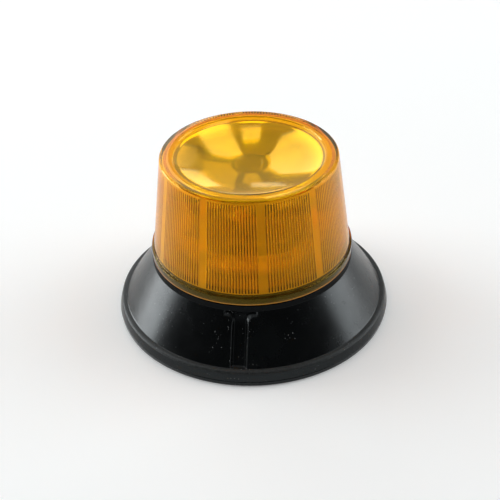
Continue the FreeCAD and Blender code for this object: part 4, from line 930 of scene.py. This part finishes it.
def build_world():
    """A dark room, with a white backdrop near the horizon for the eye, mirrors and clear plastic."""
    world = bpy.data.worlds.new("studio")
    world.use_nodes = True
    sky = Graph(world.node_tree)
    room = sky.tree.nodes["Background"]
    room.inputs["Color"].default_value = (*DARK_ROOM, 1.0)
    rise = sky.node("SeparateXYZ", output=2, s0=sky.node("TexCoord", output="Generated"))
    backdrop = sky.shown() * sky.ramp(rise, *BACKDROP_STOPS)
    white = sky.node("Background", Color=(1.0, 1.0, 1.0))
    seen = sky.node("MixShader", s0=backdrop, s1=Wire(sky.tree, room.outputs[0]), s2=white)
    sky.tree.links.new(seen.socket, sky.tree.nodes["World Output"].inputs["Surface"])
    bpy.context.scene.world = world


def build_lights():
    """Side banks, an overhead bank, a dim wall behind, and the panels that the polished dish mirrors."""
    for lamp in LAMPS:
        softbox(*lamp)


def build_camera():
    """A long camera a little to the right of the channel, looking down."""
    back = Vector((0, -math.cos(CAMERA_TILT), math.sin(CAMERA_TILT)))
    right = Vector((1, 0, 0))
    up = back.cross(right)
    tilted_right = right * math.cos(CAMERA_ROLL) + up * math.sin(CAMERA_ROLL)
    tilted_up = up * math.cos(CAMERA_ROLL) - right * math.sin(CAMERA_ROLL)
    pose = Matrix((tilted_right, tilted_up, back)).transposed().to_4x4()
    pose.translation = Vector(CAMERA_AIM) + back * CAMERA_DISTANCE
    data = bpy.data.cameras.new("studio camera")
    data.lens, data.sensor_width = CAMERA_LENS, CAMERA_FRAME
    data.clip_start, data.clip_end = 0.01, 50.0
    camera = bpy.data.objects.new("studio camera", data)
    bpy.context.scene.collection.objects.link(camera)
    camera.matrix_world = Matrix.Rotation(CAMERA_TURN, 4, "Z") @ pose
    bpy.context.scene.camera = camera


# ------------------------------------------------ operators and panel

class BEACON_OT_lens(bpy.types.Operator):
    """Build the fluted amber lens"""
    bl_idname = "beacon.lens"
    bl_label = "Lens"

    def execute(self, context):
        build_lens()
        return {"FINISHED"}


class BEACON_OT_heat_shield(bpy.types.Operator):
    """Build the polished heat shield under the dish"""
    bl_idname = "beacon.heat_shield"
    bl_label = "Heat shield"

    def execute(self, context):
        build_heat_shield()
        return {"FINISHED"}


class BEACON_OT_boot(bpy.types.Operator):
    """Build the rubber boot with its channel"""
    bl_idname = "beacon.boot"
    bl_label = "Rubber boot"

    def execute(self, context):
        build_boot()
        return {"FINISHED"}


class BEACON_OT_mechanism(bpy.types.Operator):
    """Give the inner pieces their finishes"""
    bl_idname = "beacon.mechanism"
    bl_label = "Mechanism finishes"

    def execute(self, context):
        dress_mechanism()
        return {"FINISHED"}


class BEACON_OT_stage(bpy.types.Operator):
    """Build the floor, the lamps and the camera"""
    bl_idname = "beacon.stage"
    bl_label = "Stage"

    def execute(self, context):
        build_floor()
        build_world()
        build_lights()
        build_camera()
        context.scene.view_settings.view_transform = "Standard"
        return {"FINISHED"}


OPERATORS = (BEACON_OT_lens, BEACON_OT_heat_shield, BEACON_OT_boot, BEACON_OT_mechanism, BEACON_OT_stage)


class BEACON_PT_panel(bpy.types.Panel):
    """Lists the steps that dress the beacon"""
    bl_idname = "BEACON_PT_panel"
    bl_label = "Warning beacon"
    bl_space_type = "VIEW_3D"
    bl_region_type = "UI"
    bl_category = "Beacon"

    def draw(self, context):
        for step in OPERATORS:
            self.layout.operator(step.bl_idname)


GROUPS = {"beacon_lens": LensSizes, "beacon_boot": BootSizes, "beacon_finishes": Finishes}


def register():
    """Adds the settings, the steps and the panel."""
    for kind in (*GROUPS.values(), *OPERATORS, BEACON_PT_panel):
        bpy.utils.register_class(kind)
    for name, kind in GROUPS.items():
        setattr(bpy.types.Scene, name, PointerProperty(type=kind))


def unregister():
    """Takes them away again."""
    for name in GROUPS:
        delattr(bpy.types.Scene, name)
    for kind in reversed((*GROUPS.values(), *OPERATORS, BEACON_PT_panel)):
        bpy.utils.unregister_class(kind)


def main():
    """Dresses the model step by step."""
    register()
    bpy.ops.beacon.lens()
    bpy.ops.beacon.heat_shield()
    bpy.ops.beacon.boot()
    bpy.ops.beacon.mechanism()
    bpy.ops.beacon.stage()


if __name__ == "__main__":
    main()
